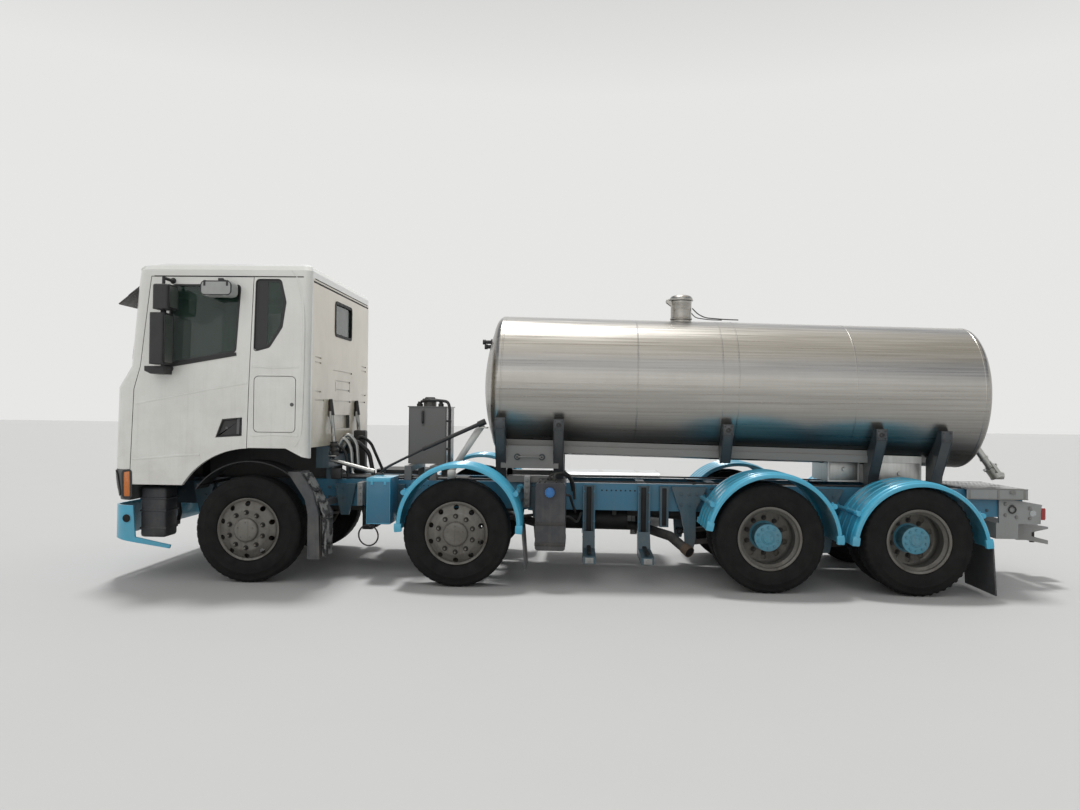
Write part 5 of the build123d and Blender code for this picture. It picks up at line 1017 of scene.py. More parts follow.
def roundedOutline(points, corner, steps=5):
    # rounds each corner of a closed 2D outline
    result = []
    count = len(points)
    for n in range(count):
        before, here, after = (Vector(points[(n + k) % count]) for k in (-1, 0, 1))
        toBefore, toAfter = before - here, after - here
        reach = min(corner, toBefore.length * 0.48, toAfter.length * 0.48)
        first, last = here + toBefore.normalized() * reach, here + toAfter.normalized() * reach
        for k in range(steps + 1):
            t = k / steps
            result.append(first * (1 - t) ** 2 + here * 2 * t * (1 - t) + last * t * t)
    return result


def grown(outline, amount):
    # moves a closed 2D outline outward along its own normals
    pairs = list(zip(outline, outline[1:] + outline[:1]))
    turn = 1 if sum(a.x * b.y - b.x * a.y for a, b in pairs) > 0 else -1
    moved = []
    for n, (here, after) in enumerate(pairs):
        along = (after - outline[n - 1]).normalized()
        moved.append(here + Vector((along.y, -along.x)) * turn * amount)
    return moved


def splitEdges(outline, step):
    points = []
    for start, end in zip(outline, outline[1:] + outline[:1]):
        count = max(1, round((end - start).length / step))
        points += [start.lerp(end, k / count) for k in range(count)]
    return points


def curved(points, steps=12):
    # a smooth 2D curve through a few points
    points = [Vector(p) for p in points]
    result = []
    for n in range(len(points) - 1):
        a, b, c, d = points[max(n - 1, 0)], points[n], points[n + 1], points[min(n + 2, len(points) - 1)]
        bend, twist = 2 * a - 5 * b + 4 * c - d, 3 * b - a - 3 * c + d
        for k in range(steps):
            t = k / steps
            result.append(0.5 * (2 * b + (c - a) * t + bend * t * t + twist * t ** 3))
    return result + [points[-1]]


# Forms laid on a panel: place(a, b, out) puts a 2D point on it
def addLayers(mesh, outline, place, layers, loop=False):
    # copies of an outline, each grown by an amount and stood out by a height
    addRings(mesh, [[place(p.x, p.y, out) for p in grown(outline, amount)] for amount, out in layers], loop=loop)


def addFrame(mesh, outline, place, outer, inner, low, high):
    # a flat band round an opening
    addLayers(mesh, outline, place, ((outer, low), (outer, high), (inner, high), (inner, low)), True)


def addStrip(mesh, route, place, profile):
    # sweeps a profile of (across, out) along a 2D route
    points = [Vector(p) for p in route]
    rings = []
    for n, point in enumerate(points):
        along = (points[min(n + 1, len(points) - 1)] - points[max(n - 1, 0)]).normalized()
        across = Vector((-along.y, along.x))
        rings.append([place(point.x + across.x * a, point.y + across.y * a, out) for a, out in profile])
    addRings(mesh, rings)


def seam(half, low, high, slant=0.0):
    # profile of a narrow strip
    return ((-half, low), (slant - half, high), (half - slant, high), (half, low))


def finishCreases(name, body, routes, place):
    mesh = bmesh.new()
    for route in routes:
        addStrip(mesh, curved(route), place, crease)
    finishPiece(mesh, name, body, "cabWhite")


crease = ((-0.016, -0.001), (-0.005, 0.0032), (0.0, 0.0040), (0.005, 0.0032), (0.016, -0.001))
doorWindow = roundedOutline(((0.832, 2.066), (0.786, 2.843), (0.109, 2.843), (0.143, 2.190)), 0.045)
quarterWindow = roundedOutline(((-0.030, 2.900), (-0.278, 2.900), (-0.332, 2.676), (-0.300, 2.435),
                                (-0.180, 2.240), (-0.024, 2.196)), 0.045)
quarterPost = [Vector(p) for p in ((-0.036, 2.885), (-0.150, 2.885), (-0.150, 2.245), (-0.036, 2.215))]
screen = roundedOutline(((-1.085, 2.090), (1.085, 2.090), (1.020, 2.845), (-1.020, 2.845)), 0.09)
backWindow = roundedOutline(((-0.330, 2.440), (0.330, 2.440), (0.330, 2.790), (-0.330, 2.790)), 0.045)
handle = roundedOutline(((0.327, 1.380), (0.264, 1.551), (0.076, 1.571), (0.078, 1.398)), 0.012, 3)
doorCreases = (((1.116, 1.690), (0.70, 1.775), (0.35, 1.845), (0.030, 1.903)),
               ((1.130, 1.160), (0.90, 1.180), (0.66, 1.203), (0.480, 1.211)))
# the pressed line that runs down the rear corner, and the flutes beside it
sideCreases = (((-0.380, 2.985), (-0.444, 2.874), (-0.493, 2.611), (-0.503, 2.175), (-0.500, 1.739), (-0.486, 1.411),
                (-0.436, 1.301)),
               ((-0.020, 1.400), (-0.240, 1.412), (-0.470, 1.402)), ((-0.020, 2.060), (-0.240, 2.052), (-0.470, 2.060)))
sillSeal = ((-0.016, 0.0), (-0.016, 0.007), (0.010, 0.011), (0.016, 0.007), (0.016, 0.0))
leverProfile = ((-0.016, -0.015), (-0.013, 0.000), (0.0, 0.004), (0.013, 0.000), (0.016, -0.015))
latch = (-0.405, 1.700)

for side, word in sides:
    title, door, place = word.title(), "door_" + word, sidePlace(side)
    mesh = bmesh.new()
    addFrame(mesh, doorWindow, place, -0.0005, -0.016, -0.020, 0.0035)
    addStrip(mesh, [(0.140, 2.176), (0.834, 2.050)], place, sillSeal)
    addLayers(mesh, handle, place, ((-0.001, -0.0215), (-0.001, 0.0015), (-0.009, 0.0015), (-0.016, -0.017)))
    finishPiece(mesh, "doorSeals" + title, door, "blackPlastic")
    mesh = bmesh.new()
    # pull lever standing in the recess, and the lock
    addStrip(mesh, [(0.112, 1.412), (0.108, 1.556)], place, leverProfile)
    addRod(mesh, place(0.225, 1.470, -0.018), place(0.225, 1.470, -0.010), 0.014, segments=20)
    finishPiece(mesh, "doorLever" + title, door, "greyPlastic")
    finishCreases("doorCreases" + title, door, doorCreases, place)
    mesh = bmesh.new()
    addFrame(mesh, quarterWindow, place, -0.0005, -0.030, -0.0125, -0.0095)
    addLayers(mesh, quarterPost, place, ((0, -0.0125), (0, -0.0095)))
    addFrame(mesh, quarterWindow, place, 0.0, -0.007, -0.020, 0.0020)
    finishPiece(mesh, "quarterSeal" + title, "cab", "blackPlastic")
    finishCreases("sideCreases" + title, "cab", sideCreases, place)
    mesh = bmesh.new()
    # flush latch of the locker flap
    addRod(mesh, place(*latch, -0.004), place(*latch, 0.003), 0.018, segments=24)
    addRod(mesh, place(*latch, 0.003), place(*latch, 0.0045), 0.007, segments=16)
    finishPiece(mesh, "lockerLatch" + title, "locker_flap_" + word, "greyPlastic")

# Roof: a small pod with its lamp over each front corner, the gutter lines, and a dark strip of painted shade in the
# groove under the rear lip
pod = ((1.036, 2.984), (1.150, 2.984), (1.148, 3.010), (1.115, 3.034), (1.060, 3.040), (1.036, 3.030))
mesh = bmesh.new()
lamps = bmesh.new()
for side, word in sides:
    addSideProfile(mesh, pod, side * 0.870, side * 1.080, 0.010)
    addPlates(lamps, ((1.1415, 0.905, 2.988, 1.1525, 1.045, 3.006, 0.003),), side)
finishPiece(mesh, "roofPods", "cab", "cabWhite")
finishPiece(lamps, "roofLamps", "cab", "amberLens")
mesh = bmesh.new()
gutter = [(x, 2.921) for x in (-0.49, -0.2, 0.2, 0.6, 0.96)]
for side, word in sides:
    addStrip(mesh, gutter, sidePlace(side), seam(0.005, 0.0, 0.0035, 0.001))
addStrip(mesh, [(y, 2.921) for y in (-1.06, 0.0, 1.06)], onBack, seam(0.005, 0.0, 0.0030, 0.001))
# dark strip sunk in the groove under the roof's rear lip: painted shade of the lip
addStrip(mesh, [(y, 2.891) for y in (-1.10, 0.0, 1.10)], onBack, seam(0.0085, -0.0085, -0.0060))
finishPiece(mesh, "roofSeamsAndLipShade", "cab", "sealRubberAndShade")

# Visor: raised panels on its blade, and its brackets
mesh = bmesh.new()
visorTop, visorEdge = Vector((1.126, 2.8935)), Vector((1.398, 2.6735))
slope = (visorEdge - visorTop).normalized()
proud = Vector((-slope.y, slope.x))
visorPanel = [visorTop.lerp(visorEdge, t) + proud * out
              for t, out in ((0.20, 0.0005), (0.20, 0.0035), (0.90, 0.0035), (0.90, 0.0005))]
for y, half in ((-0.70, 0.30), (0.0, 0.36), (0.70, 0.30)):
    addSideProfile(mesh, visorPanel, y - half, y + half, 0.001)
visorBracket = ((1.100, 2.885), (1.150, 2.8735), (1.300, 2.7525), (1.286, 2.742), (1.170, 2.822))
for side, word in sides:
    addSideProfile(mesh, visorBracket, side * 1.0215, side * 1.0335, 0.003)
finishPiece(mesh, "visorRibs", "cab", "smokedPlastic")

# Windscreen: seal, and three wipers on their spindles
mesh = bmesh.new()
addFrame(mesh, screen, onFront, -0.001, -0.022, -0.014, 0.003)
addFrame(mesh, backWindow, onBack, 0.012, -0.018, -0.013, 0.007)
finishPiece(mesh, "screenSeals", "cab", "sealRubberAndShade")
# Columns: share of the wiper's reach, height, distance from the panel
wiperArm = ((0, 2.066, 0.024), (0.15, 2.090, 0.034), (1, 2.150, 0.018))
wiperBlade = ((0.35, 2.118, 0.012), (1.02, 2.155, 0.010), (1.55, 2.190, 0.010))
mesh = bmesh.new()
for y, reach in ((0.62, -0.62), (0.02, -0.60), (-0.58, -0.30)):
    addRod(mesh, onFront(y, 2.062, -0.004), onFront(y, 2.066, 0.030), 0.016, 0.012, segments=18)
    for rows, radius in ((wiperArm, 0.006), (wiperBlade, 0.0055)):
        addTube(mesh, [onFront(y + reach * share, z, out) for share, z, out in rows], radius, bend=0.05)
finishPiece(mesh, "wipers", "cab", "blackPlastic")
print("cab skin dressed")

# Grille: slats and a mesh of uprights inside each slot
grille = dict(slots=6, first=1.175, pitch=0.096, uprights=40, half=0.750)
mesh = bmesh.new()
for n in range(grille["slots"]):
    low = grille["first"] + grille["pitch"] * n
    for step in range(grille["uprights"] + 1):
        y = grille["half"] * (2 * step / grille["uprights"] - 1)
        foot, head = onFront(y, low + 0.001, -0.030), onFront(y, low + 0.057, -0.030)
        addBox(mesh, (foot.x - 0.010, y - 0.0025, foot.z), (foot.x, y + 0.0025, head.z))
    for z in (low + 0.0015, low + 0.029):
        addStrip(mesh, [(y, z) for y in (-0.759, -0.3, 0.3, 0.759)], onFront, seam(0.0012, -0.045, -0.006))
finishPiece(mesh, "grilleSlats", "front_hatch", "blackPlastic")

# Mirrors: rims and glass on both heads, clips and feet
# Columns: back face and front face from axle 1, lowest and highest point
mirrorHeads = ((0.680, 0.845, 2.575, 2.808), (0.720, 0.872, 2.062, 2.540))
for side, word in sides:
    title, door = word.title(), "door_" + word
    mesh = bmesh.new()
    glass = bmesh.new()
    for backX, frontX, low, high in mirrorHeads:
        low, high = low + 0.014, high - 0.016
        outline = roundedOutline(((1.303, low), (1.467, low), (1.467, high), (1.303, high)), 0.020)
        rim = lambda y, z, out: fromAxle(backX - out, side * y, z)
        addFrame(mesh, outline, rim, 0.009, -0.002, -0.002, 0.004)
        addLayers(glass, outline, rim, ((-0.002, -0.001), (-0.002, 0.0015)))
        for z in (low + 0.036, high - 0.034):
            addPlates(mesh, ((0.751, 1.2885, z - 0.016, 0.799, 1.2895, z + 0.016, 0),), side)
            addStub(mesh, fromAxle(frontX - 0.001, side * 1.385, z), (0.005, 0, 0), 0.010, segments=14)
    for z in (2.8735, 2.030):
        addRod(mesh, onSide(0.775, z, side, 0.001), onSide(0.775, z, side, 0.022), 0.030, 0.022, segments=20)
    addPlates(mesh, ((0.755, 1.360, 2.548, 0.795, 1.4015, 2.568, 0.003),), side)
    finishPiece(mesh, "mirrorRims" + title, door, "blackPlastic")
    finishPiece(glass, "mirrorGlass" + title, door, "brightMetal")

# Kerb mirror over the left window, with its foot and clips
shell = roundedOutline(((0.125, 2.712), (0.420, 2.712), (0.420, 2.850), (0.125, 2.850)), 0.045)
# Columns: growth of the outline, distance from the middle of the truck
shellLayers = ((-0.016, 1.231), (0.0015, 1.245), (0.0015, 1.388), (-0.006, 1.399), (-0.020, 1.402))
mesh = bmesh.new()
addLayers(mesh, shell, lambda x, z, y: fromAxle(x, y, z), shellLayers)
for x in (0.190, 0.355):
    addPlates(mesh, ((x - 0.014, 1.236, 2.708, x + 0.014, 1.4005, 2.7135, 0.001),))
finishPiece(mesh, "kerbMirror", "door_left", "palePlastic")
mesh = bmesh.new()
addStub(mesh, fromAxle(0.270, 1.200, 2.865), (0, 0.092, 0), 0.0225, segments=20)
addPlates(mesh, ((0.245, 1.276, 2.8505, 0.295, 1.300, 2.8885, 0.004),))
for x in (0.165, 0.380):
    addPlates(mesh, ((x - 0.010, 1.300, 2.8495, x + 0.010, 1.402, 2.8530, 0.001),
                     (x - 0.010, 1.4015, 2.800, x + 0.010, 1.4045, 2.853, 0.001)))
finishPiece(mesh, "kerbMirrorClips", "door_left", "blackPlastic")
print("mirrors built")

# Headlamps: dark housing round a lens with two bright bowls, and an upright turn signal behind it
turnLamp = roundedOutline(((1.155, 0.800), (1.215, 0.800), (1.215, 1.035), (1.155, 1.045)), 0.016)
lampFront = splitEdges(roundedOutline(((0.765, 0.815), (1.130, 0.815), (1.130, 1.025), (0.765, 1.025)), 0.030), 0.025)
lampMiddle = Vector((0.9475, 0.920))
# Columns: share of the outline, distance from the panel
lensRings = ((1.0, -0.001), (0.995, 0.004), (0.95, 0.0085), (0.70, 0.0100), (0.40, 0.0105), (0.12, 0.0105))
# Columns: radius, distance from the panel
bowlRings = ((0.074, 0.005), (0.073, 0.0125), (0.066, 0.0140), (0.061, 0.0120), (0.040, 0.0130), (0.008, 0.0135))
for side, word in sides:
    title = word.title()
    place = lambda y, z, out: onFront(side * y, z, out)
    mesh, signal, lens, bowls = (bmesh.new() for n in range(4))
    addFrame(mesh, turnLamp, sidePlace(side), 0.020, -0.001, -0.001, 0.005)
    addLayers(signal, turnLamp, sidePlace(side), ((0.0, -0.001), (-0.001, 0.004), (-0.006, 0.0065)))
    addFrame(mesh, lampFront, place, 0.020, -0.002, -0.001, 0.006)
    rings = []
    for share, out in lensRings:
        rings.append([place(*lampMiddle.lerp(point, share), out) for point in lampFront])
    addRings(lens, rings)
    for y in (0.855, 1.030):
        rings = []
        for radius, out in bowlRings:
            rings.append([place(y + radius * cos(a), lampMiddle.y + radius * sin(a), out) for a in circleAngles(28)])
        addRings(bowls, rings)
    finishPiece(signal, "turnSignal" + title, "cab", "amberLens")
    finishPiece(mesh, "lampSurround" + title, "cab", "blackPlastic")
    finishPiece(lens, "headlampLens" + title, "cab", "darkGlass")
    finishPiece(bowls, "headlampBowls" + title, "cab", "clearLens")

# Bumper: a tow hole at each corner, a dark disc of painted shade inside its rim, and the step tread
mesh = bmesh.new()
trim = bmesh.new()
for side, word in sides:
    addStub(mesh, fromAxle(1.190, side * 1.1725, 0.590), (0, side * 0.0245, 0), 0.040, segments=28)
    addHoop(trim, fromAxle(1.190, side * 1.1965, 0.590), (0.0415, 0, 0.0415), (0.0035, 0.0030), side, 32, 8)
for y in (-0.62, -0.31, 0.0, 0.31, 0.62):
    addPlates(trim, ((1.3745, y - 0.11, 0.640, 1.3775, y + 0.11, 0.662, 0.001),))
finishPiece(mesh, "towHoleShade", "chassis", "sealRubberAndShade")
finishPiece(trim, "bumperTrim", "chassis", "fenderBlue")

# Washer tanks behind the bumper: ribbed shell, cap, bracket and hose
mesh = bmesh.new()
for side, word in sides:
    addBox(mesh, fromAxle(0.870, side * 0.800, 0.392), fromAxle(1.125, side * 1.060, 0.885), 0.030, 3)
    for z in (0.470, 0.640, 0.760):
        addPlates(mesh, ((0.865, 0.795, z, 1.130, 1.065, z + 0.022, 0.008),), side)
    addStub(mesh, fromAxle(0.96, side * 0.93, 0.880), (0, 0, 0.025), 0.030, segments=18)
    addPlates(mesh, ((0.98, 0.50, 0.455, 1.02, 0.87, 0.495, 0),), side)
    addTube(mesh, placed(((1.00, 0.52, 0.475), (1.02, 0.42, 0.560), (1.06, 0.385, 0.680)), side), 0.022)
finishPiece(mesh, "washerTanks", "chassis", "slatePlastic")
print("front built")

# Cab steps: a tread plate with raised lozenges in each step well
treadPlaces = [(0.735 + 0.040 * column + 0.02 * (row % 2), 0.905 + 0.040 * row)
               for row in range(6) for column in range(9)]
mesh = bmesh.new()
for side, word in sides:
    addPlates(mesh, ((0.716, 0.885, 0.9605, 1.094, 1.137, 0.966, 0.001),), side)
    addLozenges(mesh, [place for place in treadPlaces if place[0] < 1.085], side, 0.966, 0.0035, 0.011, 0.007)
finishPiece(mesh, "stepTreads", "cab", "aluminiumSkin")

# Inside the cab: head restraints on their stems, and the seams of the seat backs
headRest = ((-0.245, 2.420), (-0.135, 2.420), (-0.150, 2.640), (-0.200, 2.668), (-0.262, 2.640))
mesh = bmesh.new()
for side, word in sides:
    addSideProfile(mesh, headRest, side * 0.565, side * 0.835, 0.022)
    for y in (0.63, 0.77):
        addStub(mesh, fromAxle(-0.190, side * y, 2.395), (0, 0, 0.035), 0.008, segments=10)
    for z in (1.80, 1.95, 2.10, 2.25):
        x = -0.012 - 0.163 * (z - 1.69)
        addPlates(mesh, ((x - 0.006, 0.50, z - 0.0035, x + 0.004, 0.90, z + 0.0035, 0.002),), side)
finishPiece(mesh, "seatDetails", "cab", "seatCloth")

# Behind the cab: rear cab mountings, pipes and hoses.
# The rods, hoses and rings here are held all the way by the frame.
def addBellows(mesh, foot, top, radius, folds):
    foot, top = Vector(foot), Vector(top)
    height = (top - foot).length
    profile = [(0.0, radius * 0.5)]
    for n in range(folds * 4 + 1):
        profile.append((height * n / (folds * 4), radius * (0.86 + 0.14 * sin(pi * n / 2))))
    profile.append((height, radius * 0.5))
    addLathe(mesh, profile, foot, top - foot, 28)


pale = bmesh.new()
dark = bmesh.new()
for y in (0.535, -0.535):
    addBellows(dark, fromAxle(-0.640, y, 1.182), fromAxle(-0.625, y, 1.330), 0.048, 3)
    addRods(pale, (((-0.625, y, 1.330), (-0.600, y, 1.600), 0.024, 0.020, 20),
                   ((-0.620, y - 0.036, 1.405), (-0.620, y + 0.036, 1.405), 0.014, None, 14)))
    for turn in (-1, 1):
        near, far = y + turn * 0.012, y + turn * 0.045
        addTubes(pale, ((0.011, (-0.612, near, 1.470), (-0.600, far, 1.545), (-0.592, y + turn * 0.040, 1.640)),), 0.03)
    addRods(dark, (((-0.598, y, 1.600), (-0.586, y, 1.765), 0.030, 0.018, 20),))
    addPlates(pale, ((-0.665, y - 0.060, 1.181, -0.585, y + 0.060, 1.192, 0.002),))
# left-hand strut stay, and the pipes over the engine
addRods(pale, (((-0.440, 0.50, 1.150), (-0.638, 0.50, 1.128), 0.013, None, 16),
               ((-0.630, 0.50, 1.130), (-0.985, 0.50, 1.040), 0.022, None, 18),
               ((-0.977, 0.50, 1.042), (-1.040, 0.50, 1.028), 0.026, None, 18)))
for y, z, reach in ((0.34, 1.22, 0.10), (0.22, 1.26, 0.13), (0.10, 1.22, 0.10)):
    addTubes(pale, ((0.020, (-0.590, y, z), (-0.620 - reach * 0.4, y - 0.02, z + 0.16),
                     (-0.640 - reach, y - 0.04, z + 0.05), (-0.66 - reach, y - 0.04, z - 0.20)),), 0.07, 1, 14)
finishPiece(pale, "cabMountPale", "chassis", "plainSteel")
addTubes(dark, ((0.014, (-0.59, 0.44, 1.15), (-0.66, 0.44, 1.30), (-0.72, 0.40, 1.20), (-0.74, 0.38, 0.95)),
                (0.017, (-0.59, -0.30, 1.19), (-0.68, -0.30, 1.38), (-0.80, -0.34, 1.30), (-0.95, -0.38, 0.95)),
                (0.024, (-0.60, -0.05, 1.19), (-0.70, -0.05, 1.33), (-0.84, -0.10, 1.20), (-0.90, -0.12, 0.90)),
                (0.013, (-0.74, 0.38, 0.96), (-1.30, 0.38, 0.955), (-1.75, 0.38, 0.955), (-2.25, 0.36, 0.955)),
                (0.010, (-0.74, 0.34, 0.96), (-1.30, 0.345, 0.975), (-1.75, 0.345, 0.96), (-2.25, 0.34, 0.955))), 0.06)
addBox(dark, fromAxle(-0.735, -0.475, 0.945), fromAxle(-0.600, -0.345, 1.430), 0.020, 3)
addPlates(dark, ((-0.700, 0.440, 0.945, -0.590, 0.520, 1.055, 0.012),))
finishPiece(dark, "cabMountDark", "chassis", "blackPlastic")

# Engine noise panels, deep folds behind each mudguard, with their straps
panel = dict(folds=9, steps=36, depth=0.030, thick=0.010, slope=0.56, bend=0.66, front=-0.700)
panelHeights = (0.262, 0.262, 0.48, 0.66, 0.80, 0.95, 1.045, 1.045)


def panelLean(z):
    return max(0.0, z - panel["bend"]) * panel["slope"]


mesh = bmesh.new()
straps = bmesh.new()
for side, word in sides:
    rings = []
    for step in range(panel["steps"] + 1):
        t = step / panel["steps"]
        x = panel["front"] - 0.004 * t - 0.012 - panel["depth"] * (0.5 + 0.5 * cos(2 * pi * t * panel["folds"]))
        ring = [fromAxle(x + panelLean(z), side * (1.185 - 0.225 * t), z) for z in panelHeights]
        rings.append(ring + [p + Vector((panel["thick"], 0, 0)) for p in reversed(ring)])
    addRings(mesh, rings)
    for z in (0.36, 0.62, 0.88):
        front, rear = panel["front"] + panelLean(z), panel["front"] - 0.052 + panelLean(z)
        route = ((front, 1.200, z), (rear, 1.150, z), (rear, 0.985, z), (front, 0.945, z))
        addTube(straps, placed(route, side), 0.008, 0.03)
    addPlates(straps, ((-0.6985, 0.952, 0.245, -0.6945, 1.222, 0.652, 0.001),), side)
finishPiece(mesh, "enginePanels", "chassis", "foldShadedPanel")
finishPiece(straps, "panelStraps", "chassis", "blackPlastic")

# Long black pipe rising to the tank front, on its grey brace, and the ring of hose under the box
mesh = bmesh.new()
addTubes(mesh, ((0.0125, (-1.08, 0.435, 1.00), (-1.156, 0.45, 1.070), (-1.55, 0.45, 1.272)),), 0.05)
addTubes(mesh, ((0.021, (-1.53, 0.45, 1.262), (-2.13, 0.45, 1.538)),), 0.03, 1, 16)
addRods(mesh, (((-2.10, 0.45, 1.524), (-2.175, 0.45, 1.558), 0.032, None, 20),))
addPlates(mesh, ((-1.120, 0.385, 0.9415, -1.040, 0.470, 1.010, 0.010),))
for z in (0.66, 0.72):
    addTubes(mesh, ((0.011, (-0.90, 0.44, z), (-0.96, 0.56, z - 0.10), (-1.03, 0.60, z - 0.22),
                     (-1.10, 0.56, z - 0.10), (-1.18, 0.44, z)),), 0.10)
addHoop(mesh, fromAxle(-1.035, 0.70, 0.400), (0.098, 0.02, 0.105), (0.008, 0.008), 1, 48, 8, 0.25)
addTubes(mesh, ((0.010, (-1.035, 0.700, 0.504), (-1.04, 0.68, 0.530), (-1.065, 0.66, 0.560)),), 0.03)
finishPiece(mesh, "hosesForward", "chassis", "blackPlastic")
brace = ((-1.780, 1.040), (-1.850, 1.040), (-2.155, 1.500), (-2.115, 1.555), (-2.075, 1.515))
braceFoot = ((-1.780, 0.9405), (-1.870, 0.9405), (-1.850, 1.045), (-1.780, 1.045))
mesh = bmesh.new()
addSideProfile(mesh, brace, 0.285, 0.297, 0.002)
addSideProfile(mesh, braceFoot, 0.285, 0.395, 0.002)
for x, z in ((-1.83, 1.075), (-2.10, 1.505)):
    addBolt(mesh, fromAxle(x, 0.297, z), (0, 1, 0), 0.011, 0.009)
addPlates(mesh, ((-2.190, 0.285, 1.485, -2.100, 0.440, 1.497, 0.002),))
finishPiece(mesh, "pipeBrace", "chassis", "plainSteel")

# Turquoise box on the left rail: folded lid, corner beads and hinge
mesh = bmesh.new()
addPlates(mesh, ((-1.2915, webY, 0.5385, -1.0585, 0.9015, 0.9865, 0.003),))
finishPiece(mesh, "sideBoxSkin", "chassis", "frameBlue")
mesh = bmesh.new()
addPlates(mesh, ((-1.294, 0.498, 0.9855, -1.056, 0.9045, 0.9935, 0.003),
                 (-1.294, 0.9005, 0.955, -1.056, 0.9045, 0.988, 0.0015),
                 (-1.2915, 0.8985, 0.542, -1.2865, 0.9025, 0.955, 0.001),
                 (-1.0635, 0.8985, 0.542, -1.0585, 0.9025, 0.955, 0.001),
                 (-1.285, 0.8985, 0.542, -1.065, 0.9025, 0.548, 0.001),
                 (-1.252, 0.9005, 0.925, -1.228, 0.9085, 0.965, 0.002),
                 (-1.122, 0.9005, 0.925, -1.098, 0.9085, 0.965, 0.002)))
finishPiece(mesh, "sideBoxLid", "chassis", "fenderBlue")

# Oil tank: seams, handle, filler with its breather, and the pipe down its rear corner
mesh = bmesh.new()
addPlates(mesh, ((-1.708, 0.0385, 1.095, -1.702, 0.0430, 1.695, 0.001),
                 (-1.308, 0.0385, 1.095, -1.302, 0.0430, 1.695, 0.001)))
for z in (1.667, 1.514):
    addStub(mesh, fromAxle(-1.457, 0.040, z), (0, 0.022, 0), 0.010, segments=12)
finishPiece(mesh, "oilTankSeams", "chassis", "oilGrey")
mesh = bmesh.new()
addTubes(mesh, ((0.012, (-1.457, 0.062, 1.655), (-1.457, 0.072, 1.640), (-1.457, 0.072, 1.545),
                 (-1.457, 0.062, 1.526)),), 0.02)
fillerSteps = ((0, 0.030, 0.082, 0.078, 32), (0.030, 0.046, 0.060, 0.050, 28))
addCap(mesh, fromAxle(-1.504, -0.120, 1.763), (0, 0, 1), fillerSteps, (16, 0.080, 0.006, 0.014, 0.012))
for x, y, r in ((-1.36, -0.30, 0.035), (-1.64, -0.02, 0.030), (-1.40, -0.05, 0.024)):
    addCap(mesh, fromAxle(x, y, 1.7075), (0, 0, 1), ((0, 0.030, r, r, 20), (0.030, 0.052, r * 0.7, r * 0.7, 6)))
breather = ((-1.42, -0.05, 1.758), (-1.50, 0.00, 1.775), (-1.640, 0.015, 1.772), (-1.722, 0.020, 1.760),
            (-1.742, 0.020, 1.690), (-1.742, 0.020, 1.250), (-1.742, 0.020, 1.060), (-1.80, 0.06, 0.985))
addTube(mesh, placed(breather), 0.016, 0.045, 14)
addPlates(mesh, ((-1.760, 0.0, 1.538, -1.708, 0.040, 1.562, 0.003), (-1.760, 0.0, 1.238, -1.708, 0.040, 1.262, 0.003)))
finishPiece(mesh, "oilTankFittings", "chassis", "blackPlastic")

# Grey stud plates on the left rail, behind fender 2 and behind the cab
mesh = bmesh.new()
addPlates(mesh, ((-2.650, 0.498, 0.700, -2.590, 0.640, 1.010, 0.004),))
addSideBolts(mesh, (-2.620,), [0.735 + 0.060 * n for n in range(5)], 0.640, 1, 0.014, 0.014)
addPlates(mesh, ((-0.955, 0.440, 0.690, -0.900, 0.640, 0.925, 0.004),))
addSideBolts(mesh, (-0.928,), [0.735 + 0.070 * n for n in range(3)], 0.640, 1, 0.012, 0.014)
finishPiece(mesh, "studPlates", "chassis", "greyPaint")

# Urea tank: two straps, ribs on top, hoses at its rear top corner, and the blue cap
mesh = bmesh.new()
for z in (0.405, 0.600):
    low, high = z - 0.016, z + 0.016
    addPlates(mesh, ((-3.0185, 0.500, low, -3.0145, 1.1235, high, 0.001),
                     (-2.7285, 0.500, low, -2.7245, 1.1235, high, 0.001),
                     (-3.0185, 1.1195, low, -2.7245, 1.1240, high, 0.001)))
    addStub(mesh, fromAxle(-2.745, 1.124, z), (0, 0.026, 0), 0.008, segments=8)
for x in (-2.765, -2.815, -2.925, -2.975):
    addPlates(mesh, ((x - 0.009, 0.62, 0.9845, x + 0.009, 1.06, 0.9930, 0.004),))
ureaHoses = (
    ((-2.90, 0.80, 0.985), (-2.90, 0.80, 1.055), (-3.02, 0.70, 1.065), (-3.09, 0.56, 0.950), (-3.10, 0.46, 0.780)),
    ((-2.85, 0.72, 0.985), (-2.85, 0.72, 1.035), (-2.96, 0.64, 1.050), (-3.05, 0.56, 1.000), (-3.08, 0.44, 0.860)),
    ((-3.010, 0.90, 0.860), (-3.055, 0.88, 0.850), (-3.075, 0.70, 0.760), (-3.110, 0.46, 0.640)),
    ((-3.010, 0.82, 0.640), (-3.050, 0.80, 0.635), (-3.130, 0.66, 0.560), (-3.170, 0.46, 0.640)),
)
for route in ureaHoses:
    addTube(mesh, placed(route), 0.0125, 0.06)
for x, y in ((-2.90, 0.80), (-2.85, 0.72)):
    addStub(mesh, fromAxle(x, y, 0.984), (0, 0, 0.028), 0.022, segments=18)
finishPiece(mesh, "ureaStraps", "chassis", "blackPlastic")
mesh = bmesh.new()
capSteps = ((0, 0.020, 0.046, 0.043, 36), (0.020, 0.024, 0.034, 0.031, 28))
addCap(mesh, fromAxle(-2.865, 1.1415, 0.900), (0, 1, 0), capSteps, (14, 0.0445, 0.005, 0.010, 0.009))
finishPiece(mesh, "ureaCap", "chassis", "capBlue")
print("parts behind the cab built")

# Frame: hole rows, as dark discs of painted shade, and bolt clusters on both webs
mesh = bmesh.new()
